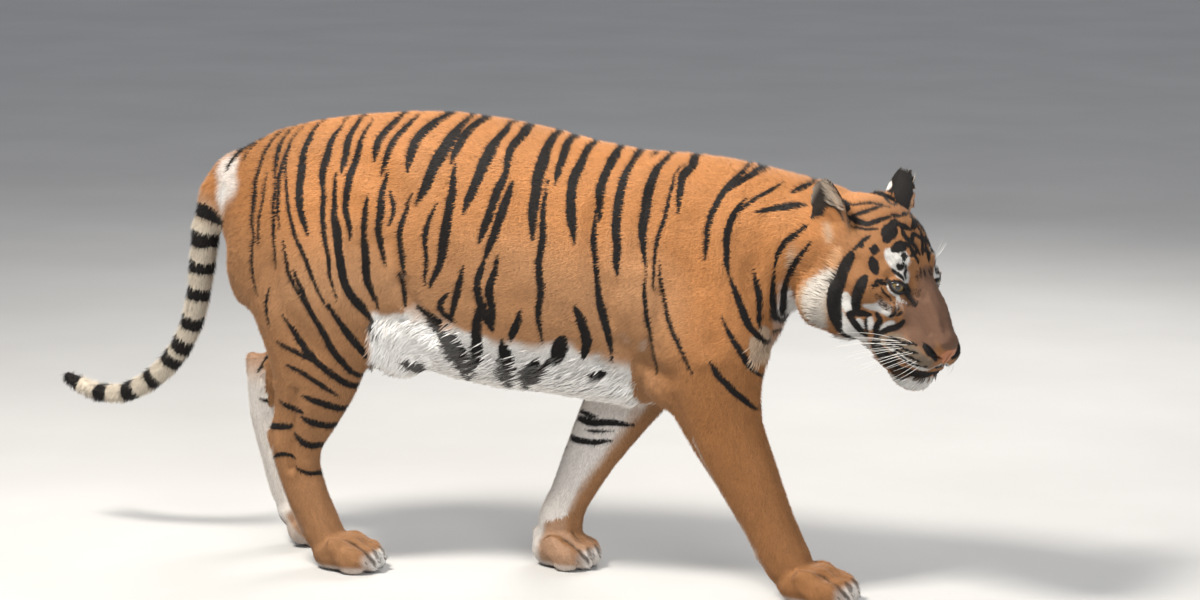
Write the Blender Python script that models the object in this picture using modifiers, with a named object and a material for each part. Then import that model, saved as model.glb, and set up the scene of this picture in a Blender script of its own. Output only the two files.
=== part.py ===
"""A life-size standing tiger, walking, with its head low and turned to its right.

Metres, +Z up, the animal faces +X and its left side is +Y.  The body is lofted and blown up
from muscles, joined into one smooth form, and then parted with thin cuts into named nodes.
"""

import math

import bmesh
import bpy
import numpy as np
from mathutils import Matrix, Vector

# Driving dimensions
CUT_GAP = 0.0005         # the thin gap between two neighbouring nodes
RING_POINTS = 28         # points round each lofted section
BALL_RINGS = 14          # sections of an ellipsoid
BODY_VOXEL = 0.010       # voxel size of the first blend, of trunk and limbs
FORM_VOXEL = 0.0050      # voxel size of the whole animal
BODY_SMOOTHING = 26      # smoothing passes that round the creases between muscles
HEAD_SMOOTHING = 9
FOOT_SMOOTHING = 3
FORM_SMOOTHING = 3       # passes over the whole animal, head and feet included
BODY_TRIANGLES = 4200    # triangles of the whole body before it is parted
FOOT_HEIGHT = 0.09       # below this, and on the head, the facets are finer
FINE_WEIGHT, FINE_FACTOR = 0.4, 0.02
EYE_RADIUS = 0.0185
RIGHT, LEFT = -1, 1

# The head is modelled level and facing +X about the middle of the braincase, then turned.
HEAD_AT = Vector((0.630, -0.030, 0.685))
HEAD_YAW, HEAD_PITCH = math.radians(-27), math.radians(25)
HEAD_TURN = (
    Matrix.Translation(HEAD_AT)
    @ Matrix.Rotation(HEAD_YAW, 4, "Z")
    @ Matrix.Rotation(HEAD_PITCH, 4, "Y")
)

FUR = ("fur", (0.55, 0.26, 0.09), 0.8)
EYE = ("eye", (0.35, 0.27, 0.06), 0.1)


def clear_scene():
    for obj in list(bpy.data.objects):
        bpy.data.objects.remove(obj, do_unlink=True)


def material(name, colour, roughness):
    made = bpy.data.materials.get(name)
    if made is None:
        made = bpy.data.materials.new(name)
        made.use_nodes = True
        shader = made.node_tree.nodes["Principled BSDF"]
        shader.inputs["Base Color"].default_value = (*colour, 1)
        shader.inputs["Roughness"].default_value = roughness
        shader.inputs["Metallic"].default_value = 0
    return made


def new_object(name, mesh, collection):
    obj = bpy.data.objects.new(name, mesh)
    collection.objects.link(obj)
    return obj


# ---------------------------------------------------------------- shapes


def ring(centre, side, up, half_width, rise, drop, square=2.0):
    """One section: half_width to each side, rise above the centre and drop below it.

    square is the exponent of the superellipse: 2 is an ellipse, more is boxier.
    """
    points = []
    for k in range(RING_POINTS):
        angle = 2 * math.pi * k / RING_POINTS
        c, s = math.cos(angle), math.sin(angle)
        along = math.copysign(abs(c) ** (2 / square), c) * half_width
        height = math.copysign(abs(s) ** (2 / square), s) * (rise if s > 0 else drop)
        points.append(centre + side * along + up * height)
    return points


def loft(bm, rings, flat=False):
    """A closed tube through the rings, each end closed with a fan.

    The sections of a flat tube are two-sided strips, and rungs from side to side close its ends.
    """
    count = len(rings[0])
    loops = [[bm.verts.new(p) for p in points] for points in rings]
    for first, second in zip(loops, loops[1:]):
        for k in range(count):
            n = (k + 1) % count
            bm.faces.new((first[k], first[n], second[n], second[k]))
    for loop, points in ((loops[0], rings[0]), (loops[-1], rings[-1])):
        if flat:
            bm.faces.new((loop[0], loop[1], loop[-1]))
            for k in range(1, count // 2 - 1):
                bm.faces.new((loop[k], loop[k + 1], loop[-k - 1], loop[-k]))
            bm.faces.new((loop[count // 2 - 1], loop[count // 2], loop[count // 2 + 1]))
            continue
        tip = bm.verts.new(sum(points, Vector()) / count)
        for k in range(count):
            bm.faces.new((loop[k], loop[(k + 1) % count], tip))


def ball(bm, centre, radii, tilt=(0, 0, 0), place=Matrix.Identity(4)):
    """An ellipsoid, tilted by three angles in degrees, in the frame that place gives."""
    turn = Matrix.Identity(4)
    for angle, axis in zip(tilt, "XYZ"):
        turn = Matrix.Rotation(math.radians(angle), 4, axis) @ turn
    shape = place @ Matrix.Translation(centre) @ turn @ Matrix.Diagonal((*radii, 1))
    side, up = Vector((1, 0, 0)), Vector((0, 1, 0))
    rings = []
    for k in range(1, BALL_RINGS):
        angle = math.pi * k / BALL_RINGS
        r = math.sin(angle)
        section = ring(Vector((0, 0, -math.cos(angle))), side, up, r, r, r)
        rings.append([shape @ p for p in section])
    loft(bm, rings)


def limb(bm, stations):
    """A leg or a tail: stations of (x, y, z, fore-and-aft radius, lateral radius)."""
    centres = [Vector(s[:3]) for s in stations]
    rings = []
    for k, station in enumerate(stations):
        ahead = centres[min(k + 1, len(centres) - 1)]
        behind = centres[max(k - 1, 0)]
        along = (ahead - behind).normalized()
        side = (Vector((0, 1, 0)) - along * along.y).normalized()
        up = along.cross(side)
        rings.append(ring(centres[k], side, up, station[4], station[3], station[3]))
    loft(bm, rings)


# ---------------------------------------------------------------- trunk and neck

# x, height of the back, height of the belly, half width
TRUNK = (
    (-0.705, 0.780, 0.670, 0.035),
    (-0.680, 0.812, 0.610, 0.072),
    (-0.640, 0.856, 0.560, 0.108),
    (-0.580, 0.885, 0.515, 0.132),
    (-0.500, 0.906, 0.480, 0.142),
    (-0.400, 0.921, 0.455, 0.148),
    (-0.300, 0.930, 0.428, 0.158),
    (-0.200, 0.932, 0.392, 0.170),
    (-0.100, 0.922, 0.376, 0.176),
    (0.000, 0.905, 0.372, 0.173),
    (0.100, 0.882, 0.360, 0.166),
    (0.190, 0.868, 0.352, 0.158),
    (0.280, 0.866, 0.375, 0.150),
    (0.360, 0.860, 0.430, 0.138),
    (0.430, 0.835, 0.490, 0.116),
    (0.480, 0.760, 0.560, 0.060),
)
WIDEST = 0.42            # how far up the section the trunk is widest
TRUNK_SQUARENESS = 2.15  # exponent of the trunk's superellipse

# centre x, y, z, half width, half height, of the neck from the chest up into the head
NECK = (
    (0.300, 0.000, 0.680, 0.120, 0.175),
    (0.390, 0.000, 0.688, 0.126, 0.170),
    (0.460, -0.004, 0.694, 0.126, 0.150),
    (0.520, -0.012, 0.700, 0.122, 0.131),
    (0.580, -0.022, 0.700, 0.112, 0.115),
    (0.640, -0.034, 0.690, 0.088, 0.092),
)


def trunk(bm):
    side, up = Vector((0, 1, 0)), Vector((0, 0, 1))
    rings = []
    for x, top, bottom, half_width in TRUNK:
        middle = bottom + (top - bottom) * WIDEST
        centre = Vector((x, 0, middle))
        rings.append(ring(centre, side, up, half_width, top - middle, middle - bottom, TRUNK_SQUARENESS))
    loft(bm, rings)


def neck(bm):
    centres = [Vector(s[:3]) for s in NECK]
    rings = []
    for k, (_, _, _, half_width, half_height) in enumerate(NECK):
        along = centres[min(k + 1, len(NECK) - 1)] - centres[max(k - 1, 0)]
        side = Vector((0, 0, 1)).cross(along).normalized()
        up = along.cross(side).normalized()
        rings.append(ring(centres[k], side, up, half_width, half_height, half_height))
    loft(bm, rings)


# ---------------------------------------------------------------- legs and tail

# Each leg from its root in the trunk down to the foot: x, y, z, fore-and-aft radius, lateral radius
RIGHT_FORELEG = (
    (0.300, -0.070, 0.800, 0.070, 0.040),
    (0.340, -0.088, 0.700, 0.110, 0.058),
    (0.365, -0.100, 0.600, 0.122, 0.066),
    (0.368, -0.108, 0.500, 0.120, 0.068),
    (0.362, -0.110, 0.415, 0.106, 0.064),
    (0.392, -0.108, 0.325, 0.080, 0.058),
    (0.437, -0.105, 0.237, 0.067, 0.052),
    (0.478, -0.102, 0.150, 0.056, 0.047),
    (0.502, -0.100, 0.100, 0.053, 0.050),
    (0.530, -0.100, 0.050, 0.050, 0.050),
)
LEFT_FORELEG = (
    (0.290, 0.070, 0.800, 0.070, 0.040),
    (0.305, 0.088, 0.700, 0.110, 0.058),
    (0.300, 0.100, 0.600, 0.120, 0.066),
    (0.240, 0.102, 0.490, 0.112, 0.064),
    (0.165, 0.096, 0.405, 0.090, 0.060),
    (0.102, 0.086, 0.310, 0.074, 0.055),
    (0.050, 0.078, 0.215, 0.056, 0.048),
    (0.015, 0.072, 0.140, 0.046, 0.044),
    (-0.008, 0.070, 0.095, 0.048, 0.047),
    (0.000, 0.070, 0.050, 0.048, 0.048),
)
RIGHT_HINDLEG = (
    (-0.530, -0.070, 0.810, 0.100, 0.050),
    (-0.515, -0.090, 0.730, 0.135, 0.066),
    (-0.490, -0.102, 0.640, 0.148, 0.074),
    (-0.467, -0.110, 0.545, 0.140, 0.072),
    (-0.458, -0.112, 0.455, 0.120, 0.064),
    (-0.470, -0.110, 0.375, 0.092, 0.053),
    (-0.490, -0.107, 0.305, 0.068, 0.043),
    (-0.518, -0.104, 0.245, 0.058, 0.040),
    (-0.508, -0.102, 0.190, 0.050, 0.038),
    (-0.485, -0.101, 0.130, 0.047, 0.040),
    (-0.462, -0.100, 0.080, 0.046, 0.044),
    (-0.440, -0.100, 0.045, 0.040, 0.044),
)
LEFT_HINDLEG = (
    (-0.530, 0.070, 0.810, 0.100, 0.050),
    (-0.525, 0.090, 0.730, 0.132, 0.066),
    (-0.505, 0.102, 0.640, 0.142, 0.074),
    (-0.480, 0.108, 0.555, 0.125, 0.070),
    (-0.475, 0.110, 0.480, 0.098, 0.062),
    (-0.535, 0.106, 0.425, 0.074, 0.051),
    (-0.605, 0.102, 0.380, 0.055, 0.042),
    (-0.662, 0.098, 0.340, 0.048, 0.038),
    (-0.655, 0.095, 0.270, 0.044, 0.036),
    (-0.632, 0.092, 0.190, 0.042, 0.038),
    (-0.610, 0.090, 0.120, 0.043, 0.044),
    (-0.590, 0.090, 0.070, 0.040, 0.046),
)
# Points of the hocks and of the elbows, with their radii and how far they lean back
HOCKS = ((-0.560, -0.103, 0.262), (-0.690, 0.097, 0.378))
HOCK_RADII, HOCK_TILT = (0.024, 0.020, 0.036), (0, -20, 0)
ELBOWS = ((0.272, -0.105, 0.420), (0.085, 0.098, 0.432))
ELBOW_RADII = (0.045, 0.042, 0.055)
TAIL = (
    (-0.630, 0.000, 0.812, 0.044, 0.050),
    (-0.688, 0.000, 0.790, 0.044, 0.044),
    (-0.728, 0.002, 0.745, 0.040, 0.038),
    (-0.748, 0.006, 0.680, 0.034, 0.033),
    (-0.760, 0.012, 0.610, 0.031, 0.030),
    (-0.774, 0.020, 0.536, 0.028, 0.028),
    (-0.793, 0.029, 0.472, 0.027, 0.027),
    (-0.822, 0.038, 0.415, 0.026, 0.026),
    (-0.864, 0.047, 0.367, 0.026, 0.025),
    (-0.915, 0.056, 0.327, 0.025, 0.024),
    (-0.972, 0.065, 0.302, 0.023, 0.023),
    (-1.030, 0.074, 0.300, 0.022, 0.022),
    (-1.082, 0.082, 0.316, 0.020, 0.020),
    (-1.118, 0.088, 0.332, 0.014, 0.014),
)
TAIL_ROOT_STATIONS = 3   # stations that belong to the root, which the trunk's smoothing rounds

# Masses that stand out of the lofts, as centre, radii and tilts; these are on both sides
MUSCLE_PAIRS = (
    ((0.275, 0.062, 0.770), (0.108, 0.052, 0.082), (0, 25, 0)),        # shoulder blade
    ((-0.596, 0.085, 0.655), (0.066, 0.070, 0.138), (0, 12, 0)),       # buttock
    ((-0.395, 0.100, 0.520), (0.095, 0.055, 0.110), (0, -25, 0)),      # front of the thigh
)
# and these are single
MUSCLES = (
    ((0.405, 0, 0.545), (0.078, 0.105, 0.120), (0, 20, 0)),            # breast
    ((0.470, -0.005, 0.620), (0.072, 0.095, 0.080), (0, 40, 0)),       # throat
    ((-0.290, -0.060, 0.475), (0.075, 0.055, 0.080), (0, 20, 0)),      # right flank fold
    ((-0.330, 0.060, 0.480), (0.075, 0.050, 0.075), (0, 20, 0)),       # left flank fold
)


def tail(bm):
    limb(bm, TAIL)


def tail_end(bm):
    """The tail beyond its root, at its full thickness."""
    limb(bm, TAIL[TAIL_ROOT_STATIONS:])


def legs(bm):
    for stations in (RIGHT_FORELEG, LEFT_FORELEG, RIGHT_HINDLEG, LEFT_HINDLEG):
        limb(bm, stations)
    for at in HOCKS:
        ball(bm, at, HOCK_RADII, HOCK_TILT)
    for at in ELBOWS:
        ball(bm, at, ELBOW_RADII)


def muscles(bm):
    for (x, y, z), radii, tilt in MUSCLE_PAIRS:
        for side in (RIGHT, LEFT):
            ball(bm, (x, side * y, z), radii, tilt)
    for mass in MUSCLES:
        ball(bm, *mass)


# ---------------------------------------------------------------- feet


# Each paw: the floor point under the back of its pad, its turn about the vertical and its tip
# forwards in degrees, and its length, width and height
PAWS = (
    ((0.484, -0.100, 0), -8, 0, 0.186, 0.136, 0.078),
    ((-0.070, 0.070, 0), -14, 0, 0.164, 0.128, 0.074),
    ((-0.490, -0.100, 0), -6, 0, 0.174, 0.122, 0.076),
    ((-0.655, 0.090, 0.089), -4, 46, 0.150, 0.112, 0.068),
)
TOES = 4
# Shares of the paw's length, width and height: where a mass is, and its radii
PAD_AT, PAD_RADII = (0.42, 0, 0.46), (0.36, 0.40, 0.52)
TOE_RADII = (0.205, 0.128, 0.40)
TOE_REACH, TOE_SPREAD, TOE_RISE = 0.81, 0.365, 0.38
TOE_SHORTER = 0.13       # how much further back the outer toes end than the middle of the foot
KNUCKLE_BACK, KNUCKLE_SPREAD, KNUCKLE_RISE = 0.19, 0.335, 0.62
KNUCKLE_RADII, KNUCKLE_TILT = (0.175, 0.118, 0.37), (0, 30, 0)
WRIST_PADS = ((-0.050, 0.066, 0.060), (0.462, -0.100, 0.090))
WRIST_PAD_RADII = (0.016, 0.016, 0.020)


def paw(bm, heel, heading, pitch, length, width, height):
    """A foot of a rounded pad and four toes, each with an arched knuckle behind it."""
    place = (
        Matrix.Translation(heel)
        @ Matrix.Rotation(math.radians(heading), 4, "Z")
        @ Matrix.Rotation(math.radians(pitch), 4, "Y")
    )

    def scaled(shares):
        return (shares[0] * length, shares[1] * width, shares[2] * height)

    ball(bm, scaled(PAD_AT), scaled(PAD_RADII), place=place)
    for k in range(TOES):
        across = 2 * k / (TOES - 1) - 1
        reach = TOE_REACH - TOE_SHORTER * abs(across) ** 1.6
        toe = (reach, across * TOE_SPREAD, TOE_RISE)
        ball(bm, scaled(toe), scaled(TOE_RADII), (0, 8, -7 * across), place)
        knuckle = (reach - KNUCKLE_BACK, across * KNUCKLE_SPREAD, KNUCKLE_RISE)
        ball(bm, scaled(knuckle), scaled(KNUCKLE_RADII), KNUCKLE_TILT, place)


def paws(bm):
    for foot in PAWS:
        paw(bm, *foot)
    for at in WRIST_PADS:
        ball(bm, at, WRIST_PAD_RADII)


# ---------------------------------------------------------------- head

# x along the level head, height of its top, of its bottom, half width
SKULL = (
    (-0.085, 0.080, -0.080, 0.070),
    (-0.050, 0.106, -0.112, 0.096),
    (0.000, 0.123, -0.130, 0.107),
    (0.050, 0.130, -0.134, 0.107),
    (0.090, 0.123, -0.137, 0.101),
    (0.125, 0.101, -0.142, 0.090),
    (0.160, 0.069, -0.150, 0.073),
    (0.195, 0.037, -0.158, 0.058),
    (0.225, 0.013, -0.163, 0.050),
    (0.250, -0.005, -0.150, 0.044),
    (0.272, -0.021, -0.112, 0.036),
    (0.286, -0.036, -0.075, 0.022),
)
# Masses of the right and of the left of the face: centre, radii, tilts
FACE_PAIRS = (
    ((0.105, 0.080, -0.006), (0.056, 0.028, 0.036), (0, 10, -16)),     # cheekbone
    ((0.146, 0.040, 0.054), (0.036, 0.024, 0.020), (0, 38, 0)),        # brow
    ((0.168, 0.056, -0.018), (0.036, 0.022, 0.022), (0, 20, -10)),     # under the eye
    ((0.080, 0.076, -0.085), (0.062, 0.040, 0.050), (0, 0, 0)),        # jaw muscle
    ((0.038, 0.094, -0.076), (0.064, 0.046, 0.060), (0, 10, 0)),       # ruff
    ((0.236, 0.034, -0.074), (0.050, 0.034, 0.036), (0, 10, -6)),      # whisker pad
    ((0.185, 0.046, -0.100), (0.046, 0.030, 0.032), (0, 0, -8)),       # corner of the mouth
    ((-0.030, 0.066, 0.082), (0.034, 0.030, 0.028), (0, 0, 0)),        # root of the ear
)
# and of its middle
FACE_MIDDLE = (
    ((0.222, 0, -0.137), (0.042, 0.036, 0.030), (0, 0, 0)),            # chin
    ((0.165, 0, -0.122), (0.070, 0.046, 0.030), (0, 0, 0)),            # lower jaw
    ((0.215, 0, 0.000), (0.075, 0.028, 0.024), (0, 36, 0)),            # bridge of the nose
    ((0.270, 0, -0.040), (0.024, 0.029, 0.022), (0, 20, 0)),           # nose pad
)
SKULL_WIDEST = 0.48          # how far up the section the skull is widest
SKULL_SQUARENESS = 2.1
EYE_AT = (0.1512, 0.0530, 0.0215)
EYE_SEGMENTS, EYE_RINGS = 14, 8
EAR_AT = (-0.008, 0.083, 0.062)
EAR_TILT = (24, -22, 74)     # outward, back, and turned to the side, in degrees
EAR_HEIGHT, EAR_HALF_WIDTH, EAR_BOWL, EAR_SHELL = 0.104, 0.045, 0.032, 0.009
EAR_ROUNDNESS = 3.2          # exponent of the ear's outline: more is squarer at the top
EAR_WAIST = 0.10             # how much narrower the ear is at its root than half way up
EAR_ROWS, EAR_POINTS = 8, 16
EAR_TOP = EAR_ROWS - 0.6     # rows from the root to the tip, which the last row stops short of


def head(bm):
    side, up = Vector((0, 1, 0)), Vector((0, 0, 1))
    rings = []
    for x, top, bottom, half_width in SKULL:
        middle = bottom + (top - bottom) * SKULL_WIDEST
        centre = Vector((x, 0, middle))
        section = ring(centre, side, up, half_width, top - middle, middle - bottom, SKULL_SQUARENESS)
        rings.append([HEAD_TURN @ p for p in section])
    loft(bm, rings)
    for s in (RIGHT, LEFT):
        for (x, y, z), radii, (a, b, c) in FACE_PAIRS:
            ball(bm, (x, s * y, z), radii, (a, b, s * c), HEAD_TURN)
    for mass in FACE_MIDDLE:
        ball(bm, *mass, HEAD_TURN)


def ear_frame(s):
    """The frame of an ear: its root, with Z up along the ear and X out of its opening."""
    x, y, z = EAR_AT
    outward, back, turned = (math.radians(a) for a in EAR_TILT)
    return (
        HEAD_TURN
        @ Matrix.Translation((x, s * y, z))
        @ Matrix.Rotation(-s * outward, 4, "X")
        @ Matrix.Rotation(back, 4, "Y")
        @ Matrix.Rotation(s * turned, 4, "Z")
    )


def ear(s, grown=0):
    """A round ear: a curved shell, bowed back in the middle and open to the front."""
    place = ear_frame(s)
    rings = []
    for k in range(EAR_ROWS):
        up = k / EAR_TOP
        waist = 1 - EAR_WAIST * (1 - math.sin(math.pi * up))
        half = EAR_HALF_WIDTH * math.sqrt(1 - up**EAR_ROUNDNESS) * waist
        bow = EAR_BOWL * (1 - 0.55 * up)
        thick = EAR_SHELL * 0.5 * (1.3 - 0.5 * up) + grown
        height = up * EAR_HEIGHT + grown * (2 * up - 1)
        section = []
        for j in range(EAR_POINTS):
            angle = 2 * math.pi * j / EAR_POINTS
            across = math.cos(angle) * (half + grown)
            x = bow * ((across / half) ** 2 - 0.5) + math.sin(angle) * thick
            section.append(place @ Vector((x, across, height)))
        rings.append(section)
    bm = bmesh.new()
    loft(bm, rings, flat=True)
    bmesh.ops.triangulate(bm, faces=bm.faces, quad_method="FIXED")
    bmesh.ops.recalc_face_normals(bm, faces=bm.faces)
    return bm


def eyeball(s, grown=0):
    x, y, z = EYE_AT
    bm = bmesh.new()
    shape = HEAD_TURN @ Matrix.Translation((x, s * y, z))
    bmesh.ops.create_uvsphere(
        bm, u_segments=EYE_SEGMENTS, v_segments=EYE_RINGS, radius=EYE_RADIUS + grown, matrix=shape
    )
    return bm


def let_in(body, name, shape, finish_of, collection, cutters):
    """The eyes and the ears: each its own piece, in a pocket of the head just larger than it."""
    for s, side in ((RIGHT, "_right"), (LEFT, "_left")):
        pocket = new_object(name + "_pocket", bpy.data.meshes.new("pocket"), cutters)
        bm = shape(s, CUT_GAP)
        bm.to_mesh(pocket.data)
        bm.free()
        boolean(body, pocket, "DIFFERENCE")
        bpy.data.objects.remove(pocket)
        finish(name + side, shape(s), collection, finish_of)


# ---------------------------------------------------------------- one form, then its nodes


def finish(name, bm, collection, finish_of):
    """A new object from the bmesh, with its material and smooth shading."""
    mesh = bpy.data.meshes.new(name)
    bm.to_mesh(mesh)
    bm.free()
    mesh.materials.append(material(*finish_of))
    mesh.shade_smooth()
    return new_object(name, mesh, collection)


def applied(obj):
    """Replaces the object's mesh with the one that its modifiers make."""
    graph = bpy.context.evaluated_depsgraph_get()
    mesh = bpy.data.meshes.new_from_object(obj.evaluated_get(graph), depsgraph=graph)
    obj.modifiers.clear()
    obj.data = mesh


def blended(obj, voxel, passes):
    """Joins all of the object's overlapping shells into one, and rounds the creases."""
    joined = obj.modifiers.new("join", "REMESH")
    joined.mode = "VOXEL"
    joined.voxel_size = voxel
    rounded = obj.modifiers.new("round", "SMOOTH")
    rounded.factor = 0.5
    rounded.iterations = passes
    applied(obj)


def is_fine(point):
    """Whether the point is on the head or on a foot, which keep finer facets."""
    ahead = HEAD_TURN.inverted() @ point
    return ahead.x > -0.06 or point.z < FOOT_HEIGHT


def thinned(obj, triangles):
    cut = obj.modifiers.new("facets", "TRIANGULATE")
    cut.min_vertices = 4
    applied(obj)
    ease = obj.vertex_groups.new(name="ease")
    for vertex in obj.data.vertices:
        ease.add([vertex.index], FINE_WEIGHT if is_fine(vertex.co) else 1, "REPLACE")
    fewer = obj.modifiers.new("fewer", "DECIMATE")
    fewer.ratio = triangles / len(obj.data.polygons)
    fewer.vertex_group = ease.name
    fewer.vertex_group_factor = FINE_FACTOR
    applied(obj)
    obj.vertex_groups.clear()


def box_cutter(name, start, along, reach, half_depth, half_width, grown, collection):
    """A box whose near face is centred on start and square to along, reach deep."""
    along = Vector(along).normalized()
    side = (Vector((0, 1, 0)) - along * along.y).normalized()
    up = along.cross(side)
    turn = Matrix((along, side, up)).transposed().to_4x4()
    size = (reach + 2 * grown, 2 * (half_width + grown), 2 * (half_depth + grown), 1)
    middle = Vector(start) + along * (reach / 2)
    bm = bmesh.new()
    bmesh.ops.create_cube(bm, size=1, matrix=Matrix.Translation(middle) @ turn @ Matrix.Diagonal(size))
    bmesh.ops.recalc_face_normals(bm, faces=bm.faces)
    mesh = bpy.data.meshes.new(name)
    bm.to_mesh(mesh)
    bm.free()
    cutter = new_object(name, mesh, collection)
    cutter.hide_render = True
    cutter.display_type = "WIRE"
    return cutter


def boolean(obj, cutter, operation):
    cut = obj.modifiers.new("cut", "BOOLEAN")
    cut.operation = operation
    cut.object = cutter
    applied(obj)


def blend(collection, shapes, voxel, passes, *bodies):
    """One smooth body of the shapes, and of the bodies already made, which it uses up."""
    bm = bmesh.new()
    for shape in shapes:
        shape(bm)
    for body in bodies:
        bm.from_mesh(body.data)
        bpy.data.objects.remove(body)
    made = finish("body", bm, collection, FUR)
    blended(made, voxel, passes)
    return made


def whole_body(collection, cutters):
    body = blend(collection, (trunk, neck, legs, muscles, tail), BODY_VOXEL, BODY_SMOOTHING)
    face = blend(collection, (head,), FORM_VOXEL, HEAD_SMOOTHING)
    feet = blend(collection, (paws,), FORM_VOXEL, FOOT_SMOOTHING)
    whole = blend(collection, (tail_end,), FORM_VOXEL, FORM_SMOOTHING, body, face, feet)
    thinned(whole, BODY_TRIANGLES)
    below = box_cutter("below_floor", (0, 0, 0), (0, 0, -1), 0.2, 2.0, 1.0, 0, cutters)
    boolean(whole, below, "DIFFERENCE")
    bpy.data.objects.remove(below)
    return whole


def part_off(body, name, start, along, reach, half_depth, half_width, collection, cutters):
    """Takes the node called name off the body, on the far side of a cut square to along."""
    inner = box_cutter(name + "_cell", start, along, reach, half_depth, half_width, 0, cutters)
    outer = box_cutter(name + "_gap", start, along, reach, half_depth, half_width, CUT_GAP, cutters)
    node = new_object(name, body.data.copy(), collection)
    boolean(node, inner, "INTERSECT")
    boolean(body, outer, "DIFFERENCE")
    for cutter in (inner, outer):
        bpy.data.objects.remove(cutter)
    return node


# name, a point on the cut, the way from the cut to the node, reach, half depth, half width
HEAD_CELLS = (
    ("head", HEAD_TURN @ Vector((-0.070, 0, -0.020)), (0.94, -0.30, -0.14), 0.42, 0.27, 0.20),
)
TAIL_CELLS = (
    ("tail_4", (-0.942, 0.061, 0.314), (-0.97, 0.15, -0.25), 0.24, 0.075, 0.07),
    ("tail_3", (-0.803, 0.033, 0.450), (-0.48, 0.13, -0.87), 0.22, 0.105, 0.07),
    ("tail_2", (-0.757, 0.011, 0.630), (-0.17, 0.08, -0.98), 0.22, 0.055, 0.06),
    ("tail_1", (-0.712, 0.000, 0.782), (-0.45, 0.00, -0.89), 0.26, 0.062, 0.06),
)
LEG_CELLS = (
    ("forepaw_right", (0.503, -0.100, 0.092), (0.55, 0, -0.84), 0.25, 0.13, 0.10),
    ("forearm_right", (0.385, -0.105, 0.345), (0.43, 0, -0.90), 0.36, 0.14, 0.10),
    ("upper_arm_right", (0.375, -0.140, 0.480), (-0.05, 0.18, -1.0), 0.20, 0.17, 0.115),
    ("forepaw_left", (-0.006, 0.070, 0.100), (0.30, 0, -0.95), 0.22, 0.16, 0.10),
    ("forearm_left", (0.122, 0.090, 0.342), (-0.50, 0, -0.86), 0.36, 0.13, 0.09),
    ("upper_arm_left", (0.200, 0.140, 0.475), (-0.45, -0.18, -0.90), 0.20, 0.145, 0.112),
    ("hindpaw_right", (-0.455, -0.100, 0.080), (0.45, 0, -0.89), 0.22, 0.13, 0.10),
    ("metatarsus_right", (-0.516, -0.104, 0.252), (0.10, 0, -0.99), 0.25, 0.12, 0.10),
    ("shank_right", (-0.463, -0.110, 0.442), (-0.25, 0, -0.97), 0.25, 0.135, 0.10),
    ("thigh_right", (-0.480, -0.150, 0.660), (0.10, 0.35, -0.93), 0.40, 0.20, 0.125),
    ("hindpaw_left", (-0.607, 0.090, 0.112), (0.45, 0, -0.89), 0.22, 0.10, 0.10),
    ("metatarsus_left", (-0.650, 0.098, 0.362), (0.05, 0, -1.0), 0.30, 0.12, 0.08),
    ("shank_left", (-0.490, 0.108, 0.470), (-0.66, 0, -0.75), 0.30, 0.13, 0.09),
    ("thigh_left", (-0.495, 0.150, 0.660), (0.05, -0.35, -0.93), 0.40, 0.20, 0.125),
)
TRUNK_CELLS = (
    ("neck", (0.430, 0.0, 0.690), (1, 0, 0.12), 0.30, 0.26, 0.25),
    ("chest", (0.080, 0.0, 0.620), (1, 0, 0), 0.60, 0.40, 0.30),
    ("abdomen", (-0.330, 0.0, 0.650), (1, 0, 0), 0.60, 0.45, 0.30),
)


def centre_on_floor(nodes):
    """Moves the nodes so that the origin is under the middle of the box round them all."""
    corners = [v.co for node in nodes for v in node.data.vertices]
    middle = [(min(c[k] for c in corners) + max(c[k] for c in corners)) / 2 for k in (0, 1)]
    for node in nodes:
        node.data.transform(Matrix.Translation((-middle[0], -middle[1], 0)))


def main():
    clear_scene()
    tiger = bpy.data.collections.new("tiger")
    cutters = bpy.data.collections.new("cutters")
    for collection in (tiger, cutters):
        bpy.context.scene.collection.children.link(collection)
    cutters.hide_render = True

    body = whole_body(tiger, cutters)
    let_in(body, "ear", ear, FUR, tiger, cutters)
    let_in(body, "eye", eyeball, EYE, tiger, cutters)
    for cell in (*HEAD_CELLS, *TAIL_CELLS, *LEG_CELLS, *TRUNK_CELLS):
        part_off(body, *cell, tiger, cutters)
    body.name = "rump"
    centre_on_floor(tiger.objects)


main()
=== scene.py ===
"""A still, life-size tiger, walking with its head turned: skin, coat, eyes, nose, whiskers and claws.

Lengths are in metres and angles in degrees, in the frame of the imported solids: +X is towards the head,
+Y is the animal's left and +Z is up. Places on the head are given in the head's own frame, where +X is
forward along the skull, and Y is how far a place is to either side.
"""

import math

import bmesh
import bpy
import numpy as np
from mathutils import Matrix, Vector
from mathutils.bvhtree import BVHTree


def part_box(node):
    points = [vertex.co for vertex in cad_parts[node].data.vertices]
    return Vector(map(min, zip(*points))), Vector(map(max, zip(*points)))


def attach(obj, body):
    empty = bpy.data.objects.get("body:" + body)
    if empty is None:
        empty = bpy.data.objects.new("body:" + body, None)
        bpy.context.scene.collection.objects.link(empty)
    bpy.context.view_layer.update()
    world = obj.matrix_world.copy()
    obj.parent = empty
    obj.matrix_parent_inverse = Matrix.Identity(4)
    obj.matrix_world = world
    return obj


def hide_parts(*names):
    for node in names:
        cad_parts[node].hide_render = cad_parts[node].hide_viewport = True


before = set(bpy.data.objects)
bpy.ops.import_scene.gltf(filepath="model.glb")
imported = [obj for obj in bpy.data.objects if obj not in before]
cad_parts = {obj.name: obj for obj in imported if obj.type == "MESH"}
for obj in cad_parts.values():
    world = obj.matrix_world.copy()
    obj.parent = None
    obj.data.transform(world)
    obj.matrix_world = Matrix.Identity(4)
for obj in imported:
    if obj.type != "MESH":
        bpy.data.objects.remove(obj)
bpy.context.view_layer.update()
rng = np.random.default_rng(20)

# ---- Measures ----

MM = 0.001
CM = 0.01

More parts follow.
